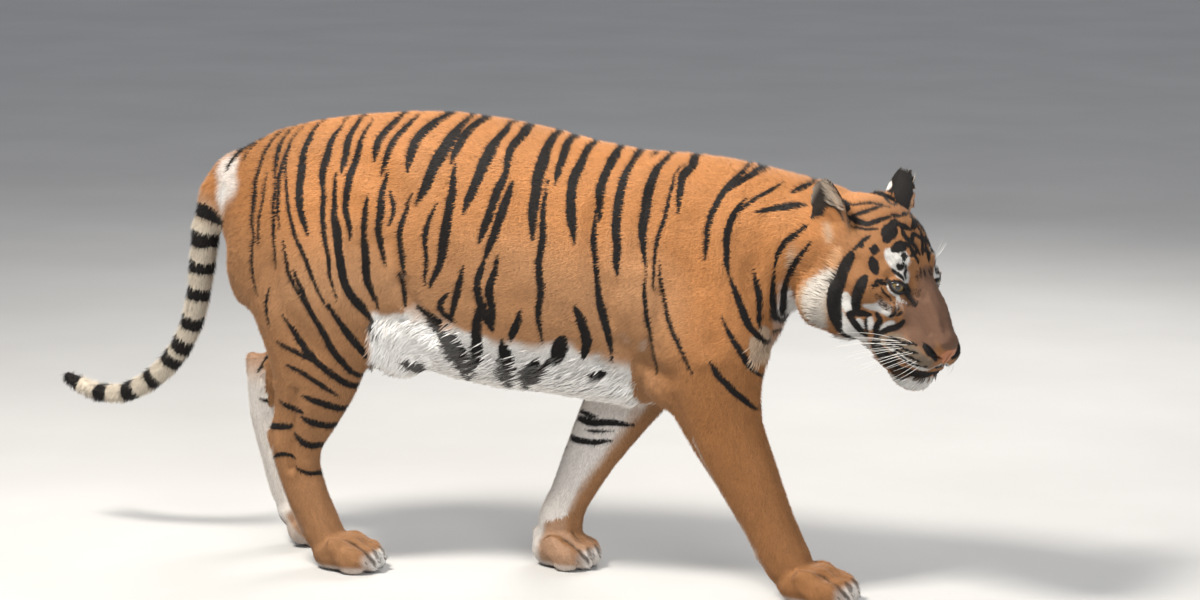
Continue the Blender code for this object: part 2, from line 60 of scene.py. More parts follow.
SKIN_VOXEL = 0.0060
SEAL = 0.0014  # how far the solids swell so that the cuts between them close
SOLE_HEIGHT = 0.018

HEAD_PITCH = 25.0  # the skull's axis points this far below the horizon
EYE_FORWARD = 0.1512  # from the head frame's origin to the eyeballs' centres
EYE_RISE = 0.0215
EYE_RADIUS = 0.0185
EYE_HALF_WIDTH = 0.0158
UPPER_LID = 0.0076
LOWER_LID = 0.0074

WHITE = (0.80, 0.785, 0.76)
FACE_WHITE = (0.56, 0.55, 0.53)
# The ruff's cream, darkened partly as painted shade.
SHADED_RUFF = (0.47, 0.43, 0.38)
SANDY = (0.46, 0.35, 0.25)
CREAM = (0.56, 0.48, 0.37)
ORANGE = (0.46, 0.200, 0.070)
TAN = (0.50, 0.275, 0.140)
BACK = (0.42, 0.190, 0.075)
# The face's orange, darkened partly as painted shade.
SHADED_FACE = (0.29, 0.135, 0.055)
# The bridge's brown, darkened as painted shade, and carried down the muzzle's sides as painted shade.
SHADED_BRIDGE = (0.155, 0.083, 0.052)
BLACK = (0.008, 0.0065, 0.006)
# Russet for the painted shade on the legs, the rump and low on the flank.
RUSSET_SHADE = (0.24, 0.105, 0.036)
TAIL_WHITE = (0.60, 0.53, 0.43)
# Painted shade for the clefts between the toes and round the claws' sheaths.
CLEFT_SHADE = (0.060, 0.038, 0.026)
# The whisker pads' grey-brown, darkened as painted shade.
SHADED_MUZZLE = (0.19, 0.145, 0.105)
NOSE_PINK = (0.40, 0.145, 0.060)
NOSE_DARK = (0.020, 0.013, 0.011)
EAR_SKIN = (0.22, 0.165, 0.125)
# A painted shadow, for the deep part of an ear's bowl.
EAR_SHADOW = (0.020, 0.014, 0.012)
EAR_HAIR = (0.56, 0.47, 0.38)
PAD = (0.055, 0.038, 0.034)

PAWS = ("forepaw_left", "forepaw_right", "hindpaw_left", "hindpaw_right")
FLESH = sorted(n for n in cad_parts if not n.startswith("eye"))


def belongs(*stems):
    """For each flesh node, whether its name starts with one of the stems."""
    return np.array([n.startswith(stems) for n in FLESH])


IS_TRUNK = belongs("chest", "abdomen", "rump", "neck")
IS_NECK = belongs("neck")
IS_HEAD = belongs("head")
IS_EAR = belongs("ear")
IS_TAIL = belongs("tail")
IS_FORE = belongs("upper_arm", "forearm", "forepaw")
IS_SHANK = belongs("shank", "metatarsus", "hindpaw")
IS_LIMB = IS_FORE | IS_SHANK | belongs("thigh")
IS_FOOT = belongs("forepaw", "hindpaw")
IS_LOWER = belongs("forearm", "forepaw", "metatarsus", "hindpaw")
IS_LEFT = np.array([n.endswith("_left") for n in FLESH])
IS_RIGHT = np.array([n.endswith("_right") for n in FLESH])

# For each kind of node: the coat's depth, a tuft's length and width in millimetres, and its lie.
COAT = {
    "chest": (7.0, 11, 2.0, (-1.0, 0.0, -0.50)),
    "abdomen": (7.0, 11, 2.0, (-1.0, 0.0, -0.40)),
    "rump": (6.5, 10, 1.9, (-0.9, 0.0, -0.55)),
    "neck": (8.0, 13, 2.1, (-0.85, 0.0, -0.60)),
    "head": (3.0, 7, 1.45, (-1.0, 0.0, 0.10)),
    "ear": (1.5, 7, 1.4, (-0.2, 0.0, 1.0)),
    "upper_arm": (5.5, 10, 1.9, (-0.40, 0.0, -0.92)),
    "forearm": (4.0, 9, 1.8, (-0.30, 0.0, -0.95)),
    "forepaw": (2.6, 7, 1.7, (0.55, 0.0, -0.70)),
    "thigh": (6.0, 10, 1.9, (-0.55, 0.0, -0.83)),
    "shank": (4.5, 9, 1.8, (-0.55, 0.0, -0.83)),
    "metatarsus": (3.5, 8, 1.8, (0.15, 0.0, -0.98)),
    "hindpaw": (2.6, 7, 1.7, (0.75, 0.0, -0.55)),
    "tail": (7.0, 14, 2.2, (-0.3, 0.0, -0.95)),
}

# ---- Numbers over many points at once ----


def unit(v):
    return v / np.maximum(np.linalg.norm(v, axis=-1, keepdims=True), 1e-9)


def ease(t):
    """Bends a share from 0 to 1 so that it starts and ends gently."""
    return t * t * (3.0 - 2.0 * t)


def step(low, high, x):
    """Goes smoothly from 0 at low to 1 at high."""
    return ease(np.clip((x - low) / (high - low), 0.0, 1.0))


def mix(a, b, share):
    share = np.atleast_1d(share)[:, None]
    return np.asarray(a) * (1.0 - share) + np.asarray(b) * share


def noise(points, size, seed):
    """Smooth noise from -1 to 1 whose lumps are about size across."""
    q = points / size + 100.0
    cell = np.floor(q).astype(np.int64)
    f = ease(q - cell)
    total = np.zeros(len(points))
    for corner in range(8):
        bits = np.array([corner & 1, corner >> 1 & 1, corner >> 2 & 1])
        c = cell + bits
        h = (c[:, 0] * 374761393 + c[:, 1] * 668265263 + c[:, 2] * 974711 + seed * 32664899) & 0xFFFFFFFF
        h = ((h ^ (h >> 13)) * 1274126177) & 0xFFFFFFFF
        h = (h ^ (h >> 16)) & 0xFFFFFFFF
        weight = np.prod(np.where(bits, f, 1.0 - f), axis=1)
        total += weight * (h / 0xFFFFFFFF)
    return total * 2.0 - 1.0


BOW_STEPS = 8  # straight pieces in a bowed stroke
ROUND_STEPS = 4  # and between two points of a rounded path
FAR = -0.03  # how deep in a mark a point counts as being when it is nowhere near one


def bowed(start, end, bow):
    """A curve from start to end in the side plane, bent by bow towards the tail or the ground."""
    start, end = np.array(start, float), np.array(end, float)
    along = end - start
    across = np.array([along[1], -along[0]]) / np.hypot(*along)
    t = np.linspace(0.0, 1.0, BOW_STEPS + 1)[:, None]
    return start + along * t + across * bow * 4.0 * t * (1.0 - t)


def rounded(points):
    """The same path with its corners rounded."""
    p = np.array(points, float)
    if len(p) < 3:
        return p
    p = np.vstack([2 * p[0] - p[1], p, 2 * p[-1] - p[-2]])
    made = []
    for a, b, c, d in zip(p, p[1:], p[2:], p[3:]):
        bend, twist = 2 * a - 5 * b + 4 * c - d, 3 * b - a - 3 * c + d
        for k in range(ROUND_STEPS):
            t = k / ROUND_STEPS
            made.append(0.5 * (2 * b + (c - a) * t + bend * t * t + twist * t**3))
    made.append(p[-2])
    return np.array(made)


def inside(points, strokes, ends=0.75, margin=-FAR):
    """How deep each point is inside the nearest stroke, negative outside, and -margin further out.

    A stroke is a path and its half width. Ends is how much of that width goes at the path's two ends.
    """
    best = np.full(len(points), -margin)
    for path, half in strokes:
        reach = half + margin
        near = np.flatnonzero(np.all((points > path.min(0) - reach) & (points < path.max(0) + reach), axis=1))
        if not len(near):
            continue
        p = points[near]
        deepest = best[near]
        pieces = len(path) - 1
        for k in range(pieces):
            a, ab = path[k], path[k + 1] - path[k]
            t = np.clip(((p - a) @ ab) / max(ab @ ab, 1e-12), 0.0, 1.0)
            away = np.linalg.norm(p - a - t[:, None] * ab, axis=1)
            place = np.abs(2.0 * (k + t) / pieces - 1.0)
            deepest = np.maximum(deepest, half * (1.0 - ends * place**3) - away)
        best[near] = deepest
    return best


# ---- The head's own frame, found from the two eyes ----


def node_box(name):
    """A node's lowest and highest corner, as arrays."""
    low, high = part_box(name)
    return np.array(low), np.array(high)


def node_centre(name):
    low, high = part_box(name)
    return (low + high) / 2.0


def head_frame():
    """The head's turn and the place of its frame's origin."""
    left, right = node_centre("eye_left"), node_centre("eye_right")
    side = (left - right).normalized()
    yaw = math.atan2(-side.x, side.y)
    turn = Matrix.Rotation(yaw, 3, "Z") @ Matrix.Rotation(math.radians(HEAD_PITCH), 3, "Y")
    middle = (left + right) / 2.0
    return turn, middle - turn @ Vector((EYE_FORWARD, 0.0, EYE_RISE))


HEAD_TURN, HEAD_AT = head_frame()
HEAD_AXES = np.array(HEAD_TURN)  # columns are the head's forward, left and up
HEAD_ORIGIN = np.array(HEAD_AT)


def to_head(points):
    return (points - HEAD_ORIGIN) @ HEAD_AXES


def from_head(points):
    return np.asarray(points) @ HEAD_AXES.T + HEAD_ORIGIN


def mirrored(local):
    """Both sides of the head folded onto the left."""
    return np.column_stack([local[:, 0], np.abs(local[:, 1]), local[:, 2]])


def eye_frame(side):
    """An eyeball's centre, and its directions towards the nose, up and out.

    Side is 1 on the left and -1 on the right.
    """
    centre = np.array(node_centre("eye_left" if side > 0 else "eye_right"))
    out = unit(np.array([0.80, side * 0.57, 0.20]))
    inner = np.array([0.66, -side * 0.74, -0.24])
    inner = unit(inner - out * (inner @ out))
    up = np.cross(out, inner) * (-side)
    if up[2] < 0:
        up = -up
    return centre, HEAD_AXES @ inner, HEAD_AXES @ up, HEAD_AXES @ out


EYES = {side: eye_frame(side) for side in (-1, 1)}
EYE_SHIFT = 0.001  # how far the opening's middle lies from the eyeball's, towards the nose
NEAR_EYE = 0.05


def lid_gap(points, side):
    """How far outside the almond of the eye's opening each point is, measured on the eyeball."""
    centre, inner, up, out = EYES[side]
    d = points - centre
    flat = unit(d) * EYE_RADIUS
    a, b = flat @ inner, flat @ up
    a = a - EYE_SHIFT
    arch = np.clip(1.0 - (a / EYE_HALF_WIDTH) ** 2, 0.0, 1.0)
    above = b - UPPER_LID * arch**0.75
    below = -LOWER_LID * arch**0.9 - b
    gap = np.maximum(above, below)
    past = np.abs(a) - EYE_HALF_WIDTH
    gap = np.where(past > 0, np.hypot(np.maximum(past, 0), b), gap)
    behind = d @ out < 0.0
    return np.where(behind, EYE_RADIUS * 2, gap)


def gap_to_eyes(points):
    """The same for the nearer eye, up to NEAR_EYE for points far from both."""
    gap = np.full(len(points), NEAR_EYE)
    for side, (centre, _, _, _) in EYES.items():
        near = np.linalg.norm(points - centre, axis=1) < NEAR_EYE
        gap = np.where(near, np.minimum(gap, lid_gap(points, side)), gap)
    return gap


# ---- Meshes ----


def link(name, data, material=None):
    """A new object in the scene that shows the data."""
    if material:
        data.materials.append(material)
    made = bpy.data.objects.new(name, data)
    bpy.context.scene.collection.objects.link(made)
    return made


def numbers(domain, key, width, kind=np.float32):
    """One property of all vertices, edges or the like, as an array."""
    values = np.empty(len(domain) * width, dtype=kind)
    domain.foreach_get(key, values)
    return values.reshape(-1, width) if width > 1 else values


def mesh_from(name, points, faces):
    """A mesh from arrays of points and of triangles or quads."""
    points, faces = np.asarray(points, np.float32), np.asarray(faces, np.int32)
    mesh = bpy.data.meshes.new(name)
    mesh.vertices.add(len(points))
    mesh.vertices.foreach_set("co", points.ravel())
    mesh.loops.add(faces.size)
    mesh.loops.foreach_set("vertex_index", faces.ravel())
    mesh.polygons.add(len(faces))
    mesh.polygons.foreach_set("loop_start", np.arange(0, faces.size, faces.shape[1], dtype=np.int32))
    mesh.update(calc_edges=True)
    mesh.shade_smooth()
    return mesh


def set_tint(mesh, colours):
    layer = mesh.color_attributes.new("tint", "FLOAT_COLOR", "POINT")
    rgba = np.ones((len(colours), 4), np.float32)
    rgba[:, :3] = colours
    layer.data.foreach_set("color", rgba.ravel())


def set_number(mesh, values, name):
    layer = mesh.attributes.new(name, "FLOAT", "POINT")
    layer.data.foreach_set("value", np.asarray(values, np.float32))


def set_vector(mesh, values, name):
    layer = mesh.attributes.new(name, "FLOAT_VECTOR", "POINT")
    layer.data.foreach_set("vector", np.asarray(values, np.float32).ravel())


def face_outwards(mesh, weld=0.0):
    """Turns every face outwards, after joining points that lie within weld of each other."""
    bm = bmesh.new()
    bm.from_mesh(mesh)
    if weld:
        bmesh.ops.remove_doubles(bm, verts=bm.verts, dist=weld)
    bmesh.ops.recalc_face_normals(bm, faces=bm.faces)
    bm.to_mesh(mesh)
    bm.free()


def tangential(ways, normals):
    """Directions laid flat on the surface."""
    return unit(ways - normals * np.sum(ways * normals, axis=1, keepdims=True))


def baked(source, name):
    """A new mesh with the object's modifiers applied."""
    graph = bpy.context.evaluated_depsgraph_get()
    mesh = bpy.data.meshes.new_from_object(source.evaluated_get(graph))
    mesh.name = name
    return mesh


class Surface:
    """The working shape of the skin: points and edges, as arrays."""

    def __init__(self, mesh):
        self.mesh = mesh
        self.points = numbers(mesh.vertices, "co", 3).astype(float)
        self.edges = numbers(mesh.edges, "vertices", 2, np.int32)
        count = len(self.points)
        ends = self.edges.ravel()
        self.degree = np.maximum(np.bincount(ends, minlength=count), 1)

    def spread(self, values, rounds, share):
        """Averages values over neighbours a number of times."""
        values = np.array(values, float)
        flat = values.ndim == 1
        if flat:
            values = values[:, None]
        a, b = self.edges[:, 0], self.edges[:, 1]
        share = np.asarray(share, float)
        share = share[:, None] if share.ndim else share
        for _ in range(rounds):
            total = np.empty_like(values)
            for k in range(values.shape[1]):
                column = values[:, k]
                total[:, k] = np.bincount(a, column[b], len(column)) + np.bincount(b, column[a], len(column))
            values = values + share * (total / self.degree[:, None] - values)
        return values[:, 0] if flat else values

    def smooth(self, rounds, share):
        """Takes the steps out of the shape without shrinking it."""
        for _ in range(rounds):
            self.points = self.spread(self.points, 1, share)
            self.points = self.spread(self.points, 1, -1.03 * np.asarray(share))

    def write(self):
        self.mesh.vertices.foreach_set("co", self.points.astype(np.float32).ravel())
        self.mesh.update()

    def normals(self):
        self.write()
        return numbers(self.mesh.vertices, "normal", 3).astype(float)


# ---- The skin ----


def joined_flesh():
    """Every solid in one mesh, swollen a little, and which node of flesh each face counts as.

    The eyeballs fill their sockets, so that the skin closes over them before the lids are opened.
    """
    points, faces, owner = [], [], []
    for name in sorted(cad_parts):
        index = FLESH.index("head" if name.startswith("eye") else name)
        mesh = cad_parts[name].data
        bm = bmesh.new()
        bm.from_mesh(mesh)
        bmesh.ops.remove_doubles(bm, verts=bm.verts, dist=1e-5)
        bm.normal_update()
        first = len(points)
        points += [v.co + v.normal * SEAL for v in bm.verts]
        faces += [[first + v.index for v in f.verts] for f in bm.faces]
        owner += [index] * len(bm.faces)
        bm.free()
    return points, faces, owner


def finer(mesh, where):
    """Splits in four the faces whose middles satisfy where."""
    bm = bmesh.new()
    bm.from_mesh(mesh)
    bm.faces.ensure_lookup_table()
    middles = np.array([f.calc_center_median() for f in bm.faces])
    chosen = where(middles)
    edges = {e for f, c in zip(bm.faces, chosen) if c for e in f.edges}
    bmesh.ops.subdivide_edges(bm, edges=list(edges), cuts=1, use_grid_fill=True)
    bmesh.ops.triangulate(bm, faces=[f for f in bm.faces if len(f.verts) > 4])
    bm.to_mesh(mesh)
    bm.free()
    mesh.update()


def in_face_or_feet(middles):
    """The front of the head and the toes, which need a finer mesh than the body."""
    local = mirrored(to_head(middles))
    face = (local[:, 0] > -0.075) & (local[:, 0] < 0.32) & (local[:, 2] > -0.19) & (local[:, 1] < 0.16)
    foot = np.zeros(len(middles), bool)
    for name in PAWS:
        low, high = node_box(name)
        reach = middles[:, 0] > low[0] + 0.35 * (high[0] - low[0])
        near = np.all((middles > low - 0.01) & (middles < high + 0.01), axis=1)
        foot |= near & reach & (middles[:, 2] < 0.085)
    return face | foot


def in_features(middles):
    """The muzzle, the mouth and the eyes, which need a finer mesh than the rest of the face."""
    local = mirrored(to_head(middles))
    muzzle = (local[:, 0] > 0.205) & (local[:, 2] < -0.005) & (local[:, 2] > -0.135)
    mouth = inside(local, [(rounded(np.array(MOUTH_LINE) * MM), 0.016)], ends=0.0) > 0
    eye = np.linalg.norm(local - np.array([EYE_FORWARD, 0.053, EYE_RISE]), axis=1) < 0.042
    return muzzle | mouth | eye


def in_eyes(middles):
    """The edges of the lids, which need a mesh finer still."""
    near = np.zeros(len(middles), bool)
    for side, (centre, _, _, _) in EYES.items():
        gap = lid_gap(middles, side)
        near |= (np.linalg.norm(middles - centre, axis=1) < 0.034) & (np.abs(gap) < 0.0075)
    return near


MOUTH_LINE = ((284, 0, -90), (272, 24, -97), (245, 46, -103), (208, 58, -104), (168, 66, -98))

# Each paw: its turn about the vertical and its tip forwards in degrees, its length, width and height, and
# how high the back of its pad is off the floor.
PAW_SHAPES = {
    "forepaw_right": (-8.0, 0.0, 0.186, 0.136, 0.078, 0.0),
    "forepaw_left": (-14.0, 0.0, 0.164, 0.128, 0.074, 0.0),
    "hindpaw_right": (-6.0, 0.0, 0.174, 0.122, 0.076, 0.0),
    "hindpaw_left": (-4.0, 46.0, 0.150, 0.112, 0.068, 0.089),
}
# The clefts between the toes: where they are across a paw, and their line as shares of its length, of that
# distance across, and of its height.
TOE_CLEFTS = (-0.243, 0.0, 0.243)
TOE_LINE = ((0.58, 0.92, 0.95), (0.74, 0.96, 0.84), (0.87, 1.0, 0.62), (0.96, 1.04, 0.34), (1.0, 1.06, 0.08))
MOUTH_REACH = 0.010  # how far from the mouth's line the lips are shaped
MOUTH_HALF_WIDTH = 0.0050
MOUTH_DEPTH = 0.0055
LIP_PLACE = 0.0075  # the upper lip's fullest part, measured from the mouth's line
LIP_HALF_WIDTH = 0.006
LIP_RISE = 0.0012
NOSE_RISE = 0.0018
NOSE_GROOVE_DEPTH = 0.0030
NOSTRIL_DEPTH = 0.0095
LID_EDGE = 0.0008  # how far the lids' edges stand out from the eyeball
LID_THICKNESS = 0.0034  # and the lids further on
SOCKET_DEPTH = 0.0045  # how far behind the eyeball's surface the skin is in the eye's opening
CREASE_PLACE = 0.0105  # the fold round the lids, measured from their edge
CREASE_WIDTH = 0.0030
CREASE_DEPTH = 0.0016

TOE_CLEFT_WIDTH = 0.0062
TOE_CLEFT_DEPTH = 0.0055
TOES = (-0.365, -0.122, 0.122, 0.365)

# Soft strokes that shape the face: path, half width, and how far they raise the skin, in millimetres.
FACE_FORMS = (
    (((150, 28, 72), (152, 56, 58), (136, 76, 44)), 15, 3.0),  # brow
    (((190, 33, 20), (206, 28, 22)), 13, -3.5),  # hollow at the inner corner of the eye
    (((172, 62, -4), (150, 80, -4), (120, 92, 0)), 15, 2.5),  # cheekbone
    (((206, 18, 28), (236, 18, 4), (262, 18, -16)), 10, 2.2),  # sides of the bridge
    (((196, 42, 2), (224, 38, -12), (250, 33, -30)), 10, -3.0),  # crease above the whisker pad
    (((218, 54, -62), (250, 46, -66), (268, 34, -72)), 20, 4.0),  # whisker pad
    (((256, 20, -118), (262, 0, -122)), 18, 3.0),  # chin
    (((236, 44, -116), (205, 54, -114)), 12, 1.8),  # lower lip
    (((84, 0, 118), (124, 0, 98), (156, 0, 74)), 12, -1.6),  # furrow of the forehead
    (((76, 110, 40), (84, 119, -30), (108, 108, -98)), 14, -2.6),  # edge of the cheek
    (((172, 68, -30), (160, 80, -60), (150, 78, -84)), 14, 2.2),  # cheek muscle
    (((112, 104, -40), (100, 116, -70), (112, 108, -100)), 20, 4.0),  # whiskered cheek
    (((132, 62, 62), (112, 74, 58)), 10, -1.6),  # above the brow
)

# The same for the trunk and limbs, in centimetres in the side plane: start, end, bow, half width, and the
# rise in millimetres, which FORM_STRENGTH multiplies. FORM_LIMIT keeps the skin from rising out of the coat.
FORM_STRENGTH = 1.9
FORM_LIMIT = 5.0 * MM
BODY_FORMS = (
    ((47, 74), (50, 52), 1.0, 5.0, -5.0),  # in front of the shoulder
    ((37, 88), (31, 66), 2.0, 5.0, 5.0),  # shoulder blade
    ((27, 76), (33, 50), 2.5, 3.6, -5.0),  # behind the shoulder
    ((36, 62), (41, 50), 0.5, 5.5, 5.0),  # shoulder point
    ((31, 50), (42, 44), 1.5, 3.0, -4.0),  # elbow crease
    ((-13, 60), (-6, 50), 0.8, 3.2, -6.0),  # front of the thigh
    ((-16, 50), (-10, 44), 0.0, 3.5, 4.0),  # fold of the flank
    ((-25, 84), (-13, 76), -1.0, 5.0, -4.0),  # hollow of the flank
    ((-32, 90), (-40, 84), -1.0, 5.0, 4.0),  # hip
    ((-40, 62), (-31, 46), 2.0, 4.0, -4.0),  # behind the thigh muscle
    ((-26, 70), (-22, 54), 1.0, 6.0, 4.0),  # thigh
    ((-2, 84), (4, 60), 2.0, 4.0, 2.5),  # ribs
    ((8, 86), (12, 62), 2.0, 4.0, 2.5),
    ((56, 84), (52, 66), 2.0, 4.0, 3.0),  # neck
    ((63, 80), (58, 62), 1.0, 3.2, -3.0),
    ((-36.5, 37), (-38, 21), 0.3, 1.7, -4.5),  # groove in front of the hock
    ((-42, 38), (-41, 25), 0.0, 1.8, 3.0),  # tendon of the hock
    ((-33, 34), (-35, 22), 0.0, 2.2, 2.5),
    ((43, 40), (51, 20), 0.6, 1.9, -3.0),  # groove along the forearm
    ((38, 42), (45, 22), 0.4, 2.6, 2.5),
    ((40, 60), (36, 46), -1.0, 2.4, -3.5),  # between the muscles above the elbow
    ((33, 58), (31, 46), 0.5, 3.0, 3.0),
    ((27, 46), (34, 41), 0.8, 2.2, -3.5),  # fold at the elbow
    ((49, 60), (50, 48), 0.5, 2.6, 3.0),
)


def faces_of(mesh):
    mesh.calc_loop_triangles()
    return numbers(mesh.loop_triangles, "vertices", 3, np.int32)


class Snap:
    """Moves paths that are given only roughly onto the skin as it is now."""

    def __init__(self, surface):
        surface.write()
        triangles = faces_of(surface.mesh)
        self.tree = BVHTree.FromPolygons(surface.points.tolist(), triangles.tolist())

    def nearest(self, point):
        found = self.tree.find_nearest(Vector(point))
        return np.array(found[0]), np.array(found[1])

    def head(self, path):
        """A path in millimetres in the head's frame, rounded, laid on the right side and mirrored."""
        made = []
        for x, y, z in rounded(np.array(path, float) * MM):
            place = to_head(self.nearest(from_head((x, -y, z)))[0])
            made.append((place[0], abs(place[1]), place[2]))
        return np.array(made)

    def body(self, path):
        return np.array([self.nearest(p)[0] for p in rounded(path)])


def raised(points, path, half, height):
    """How far a soft stroke lifts each point, by height along its middle."""
    share = np.clip(inside(points, [(path, half)], ends=0.0, margin=0.0) / half, 0.0, 1.0)
    return height * ease(share)


def paw_frame(name):
    """The floor point under the back of a paw's pad, and the paw's axes as columns."""
    heading, pitch, length, _, _, rise = PAW_SHAPES[name]
    low, high = node_box(name)
    turn = Matrix.Rotation(math.radians(heading), 3, "Z") @ Matrix.Rotation(math.radians(pitch), 3, "Y")
    axes = np.array(turn)
    along = unit(np.array([axes[0, 0], axes[1, 0], 0.0]))
    reach = length * math.cos(math.radians(pitch))
    middle = np.array([high[0] - reach / 2.0, (low[1] + high[1]) / 2.0, 0.0])
    return middle - along * reach / 2.0 + np.array([0.0, 0.0, rise]), axes


def paw_size(name):
    return np.array(PAW_SHAPES[name][2:5])


def in_paw(points, name):
    """Places on a paw as shares of its length, half its width to either side, and its height."""
    origin, axes = paw_frame(name)
    return (points - origin) @ axes / paw_size(name)


def shape_paws(surface):
    """Cuts the clefts between the toes."""
    snap = Snap(surface)
    cleft = np.full(len(surface.points), FAR)
    for name in PAWS:
        origin, axes = paw_frame(name)
        strokes = []
        for across in TOE_CLEFTS:
            line = [np.array([along, across * spread, up]) for along, spread, up in TOE_LINE]
            path = [origin + axes @ (paw_size(name) * place) for place in line]
            strokes.append((snap.body(path), TOE_CLEFT_WIDTH))
        cleft = np.maximum(cleft, inside(surface.points, strokes, ends=0.4))
    share = np.clip(cleft / TOE_CLEFT_WIDTH, 0.0, 1.0)
    surface.points -= surface.normals() * (ease(share) * TOE_CLEFT_DEPTH)[:, None]
    return cleft


def shape_face(surface):
    """Raises and hollows the features of the face, then opens the lids round the eyeballs."""
    snap = Snap(surface)
    local = to_head(surface.points)
    folded = mirrored(local)
    near = np.flatnonzero((local[:, 0] > -0.08) & (local[:, 0] < 0.33) & (folded[:, 1] < 0.2))
    p = folded[near]
    rise = np.zeros(len(near))
    for path, width, height in FACE_FORMS:
        rise += raised(p, snap.head(path), width * MM, height * MM)
    normals = surface.normals()
    surface.points[near] += normals[near] * rise[:, None]

    # The line of the mouth, with the upper lip hanging a little over the lower.
    local = mirrored(to_head(surface.points[near]))
    line = Snap(surface).head(MOUTH_LINE)
    away = MOUTH_REACH - inside(local, [(line, MOUTH_REACH)], ends=0.0)
    groove = ease(np.clip(1.0 - away / MOUTH_HALF_WIDTH, 0.0, 1.0))
    lip = np.clip(1.0 - np.abs(away - LIP_PLACE) / LIP_HALF_WIDTH, 0.0, 1.0)
    normals = surface.normals()
    surface.points[near] += normals[near] * (lip * LIP_RISE - groove * MOUTH_DEPTH)[:, None]

    # The nose: a raised pad of leather, two nostrils that open to the sides, and the groove under it.
    local = to_head(surface.points)
    pad = nose_pad(local)
    hole = nostril(local)
    split = groove_below_nose(local)
    normals = surface.normals()
    surface.points += normals * (pad * NOSE_RISE - split * NOSE_GROOVE_DEPTH)[:, None]
    inward = HEAD_AXES @ unit(np.array([-0.93, 0.0, 0.25]))
    surface.points += inward * (hole * NOSTRIL_DEPTH)[:, None]

    for side, (centre, _, _, out) in EYES.items():
        d = surface.points - centre
        away = np.linalg.norm(d, axis=1)
        close = np.flatnonzero((away < 0.055) & (d @ out > -0.004))
        gap = lid_gap(surface.points[close], side)
        d, away = d[close], away[close]
        direction = d / away[:, None]
        lid = EYE_RADIUS + LID_EDGE + (LID_THICKNESS - LID_EDGE) * step(0.0, 0.0045, gap)
        lid = np.where(gap < 0, EYE_RADIUS - SOCKET_DEPTH, lid)
        crease = np.exp(-(((gap - CREASE_PLACE) / CREASE_WIDTH) ** 2)) * CREASE_DEPTH
        hold = (1.0 - step(0.005, 0.020, gap)) * step(-0.004, 0.006, d @ out)
        wanted = lid * hold + away * (1.0 - hold) - crease
        surface.points[close] = centre + direction * wanted[:, None]


def nose_pad(local):
    """1 on the leather of the nose, 0 off it."""
    x, y, z = local[:, 0], np.abs(local[:, 1]), local[:, 2]
    top = -0.0450 - 0.15 * y - 0.8 * np.maximum(y - 0.012, 0)
    heights = (-0.088, -0.082, -0.076, -0.068, -0.058, -0.046)
    reach = np.interp(z, heights, (0.002, 0.004, 0.011, 0.021, 0.024, 0.018))
    edge = np.minimum(np.minimum(reach - y, top - z), z + 0.086)
    return step(-0.0012, 0.0016, edge) * (x > 0.245)


def nostril(local):
    """1 in the nostrils, which are commas that curl outwards."""
    x, y, z = local[:, 0], np.abs(local[:, 1]), local[:, 2]
    path = rounded([(0.0150, -0.0695), (0.0260, -0.0690), (0.0365, -0.0620), (0.0450, -0.0500)])
    comma = inside(np.column_stack([y, z]), [(path, 0.0060)], ends=0.45)
    return step(-0.0015, 0.0040, comma) * (x > 0.245)


def groove_below_nose(local):
    """1 along the middle of the nose's pad and the lip below it."""
    x, y, z = local[:, 0], np.abs(local[:, 1]), local[:, 2]
    return step(0.0030, 0.0, y) * step(-0.096, -0.086, z) * step(-0.048, -0.060, z) * (x > 0.25)


def shape_body(surface, region):
    """Raises and hollows the muscles and folds of the trunk and limbs, on their outer sides."""
    normals = surface.normals()
    flat = surface.points[:, [0, 2]]
    outer = step(0.15, 0.6, np.abs(normals[:, 1]))
    inner_side = IS_LEFT[region] & (normals[:, 1] < 0) | IS_RIGHT[region] & (normals[:, 1] > 0)
    outer = outer * ~inner_side
    rise = np.zeros(len(flat))
    for start, end, bow, half, height in BODY_FORMS:
        path = bowed(np.array(start) * CM, np.array(end) * CM, bow * CM)
        rise += raised(flat, path, half * CM, height * MM)
    rise[(IS_HEAD | IS_EAR)[region]] = 0.0
    rise = np.minimum(rise * FORM_STRENGTH, FORM_LIMIT)
    surface.points += normals * (rise * outer)[:, None]


def regions_of(points, tree, owner):
    """Which flesh node each point is nearest to."""
    found = np.zeros(len(points), np.int32)
    for k, p in enumerate(points):
        found[k] = owner[tree.find_nearest(Vector(p))[2]]
    return found


def coat_entry(name):
    """A node's row of COAT, by its name without its side or number."""
    stem = name.rsplit("_", 1)[0] if name not in COAT else name
    return COAT[stem]


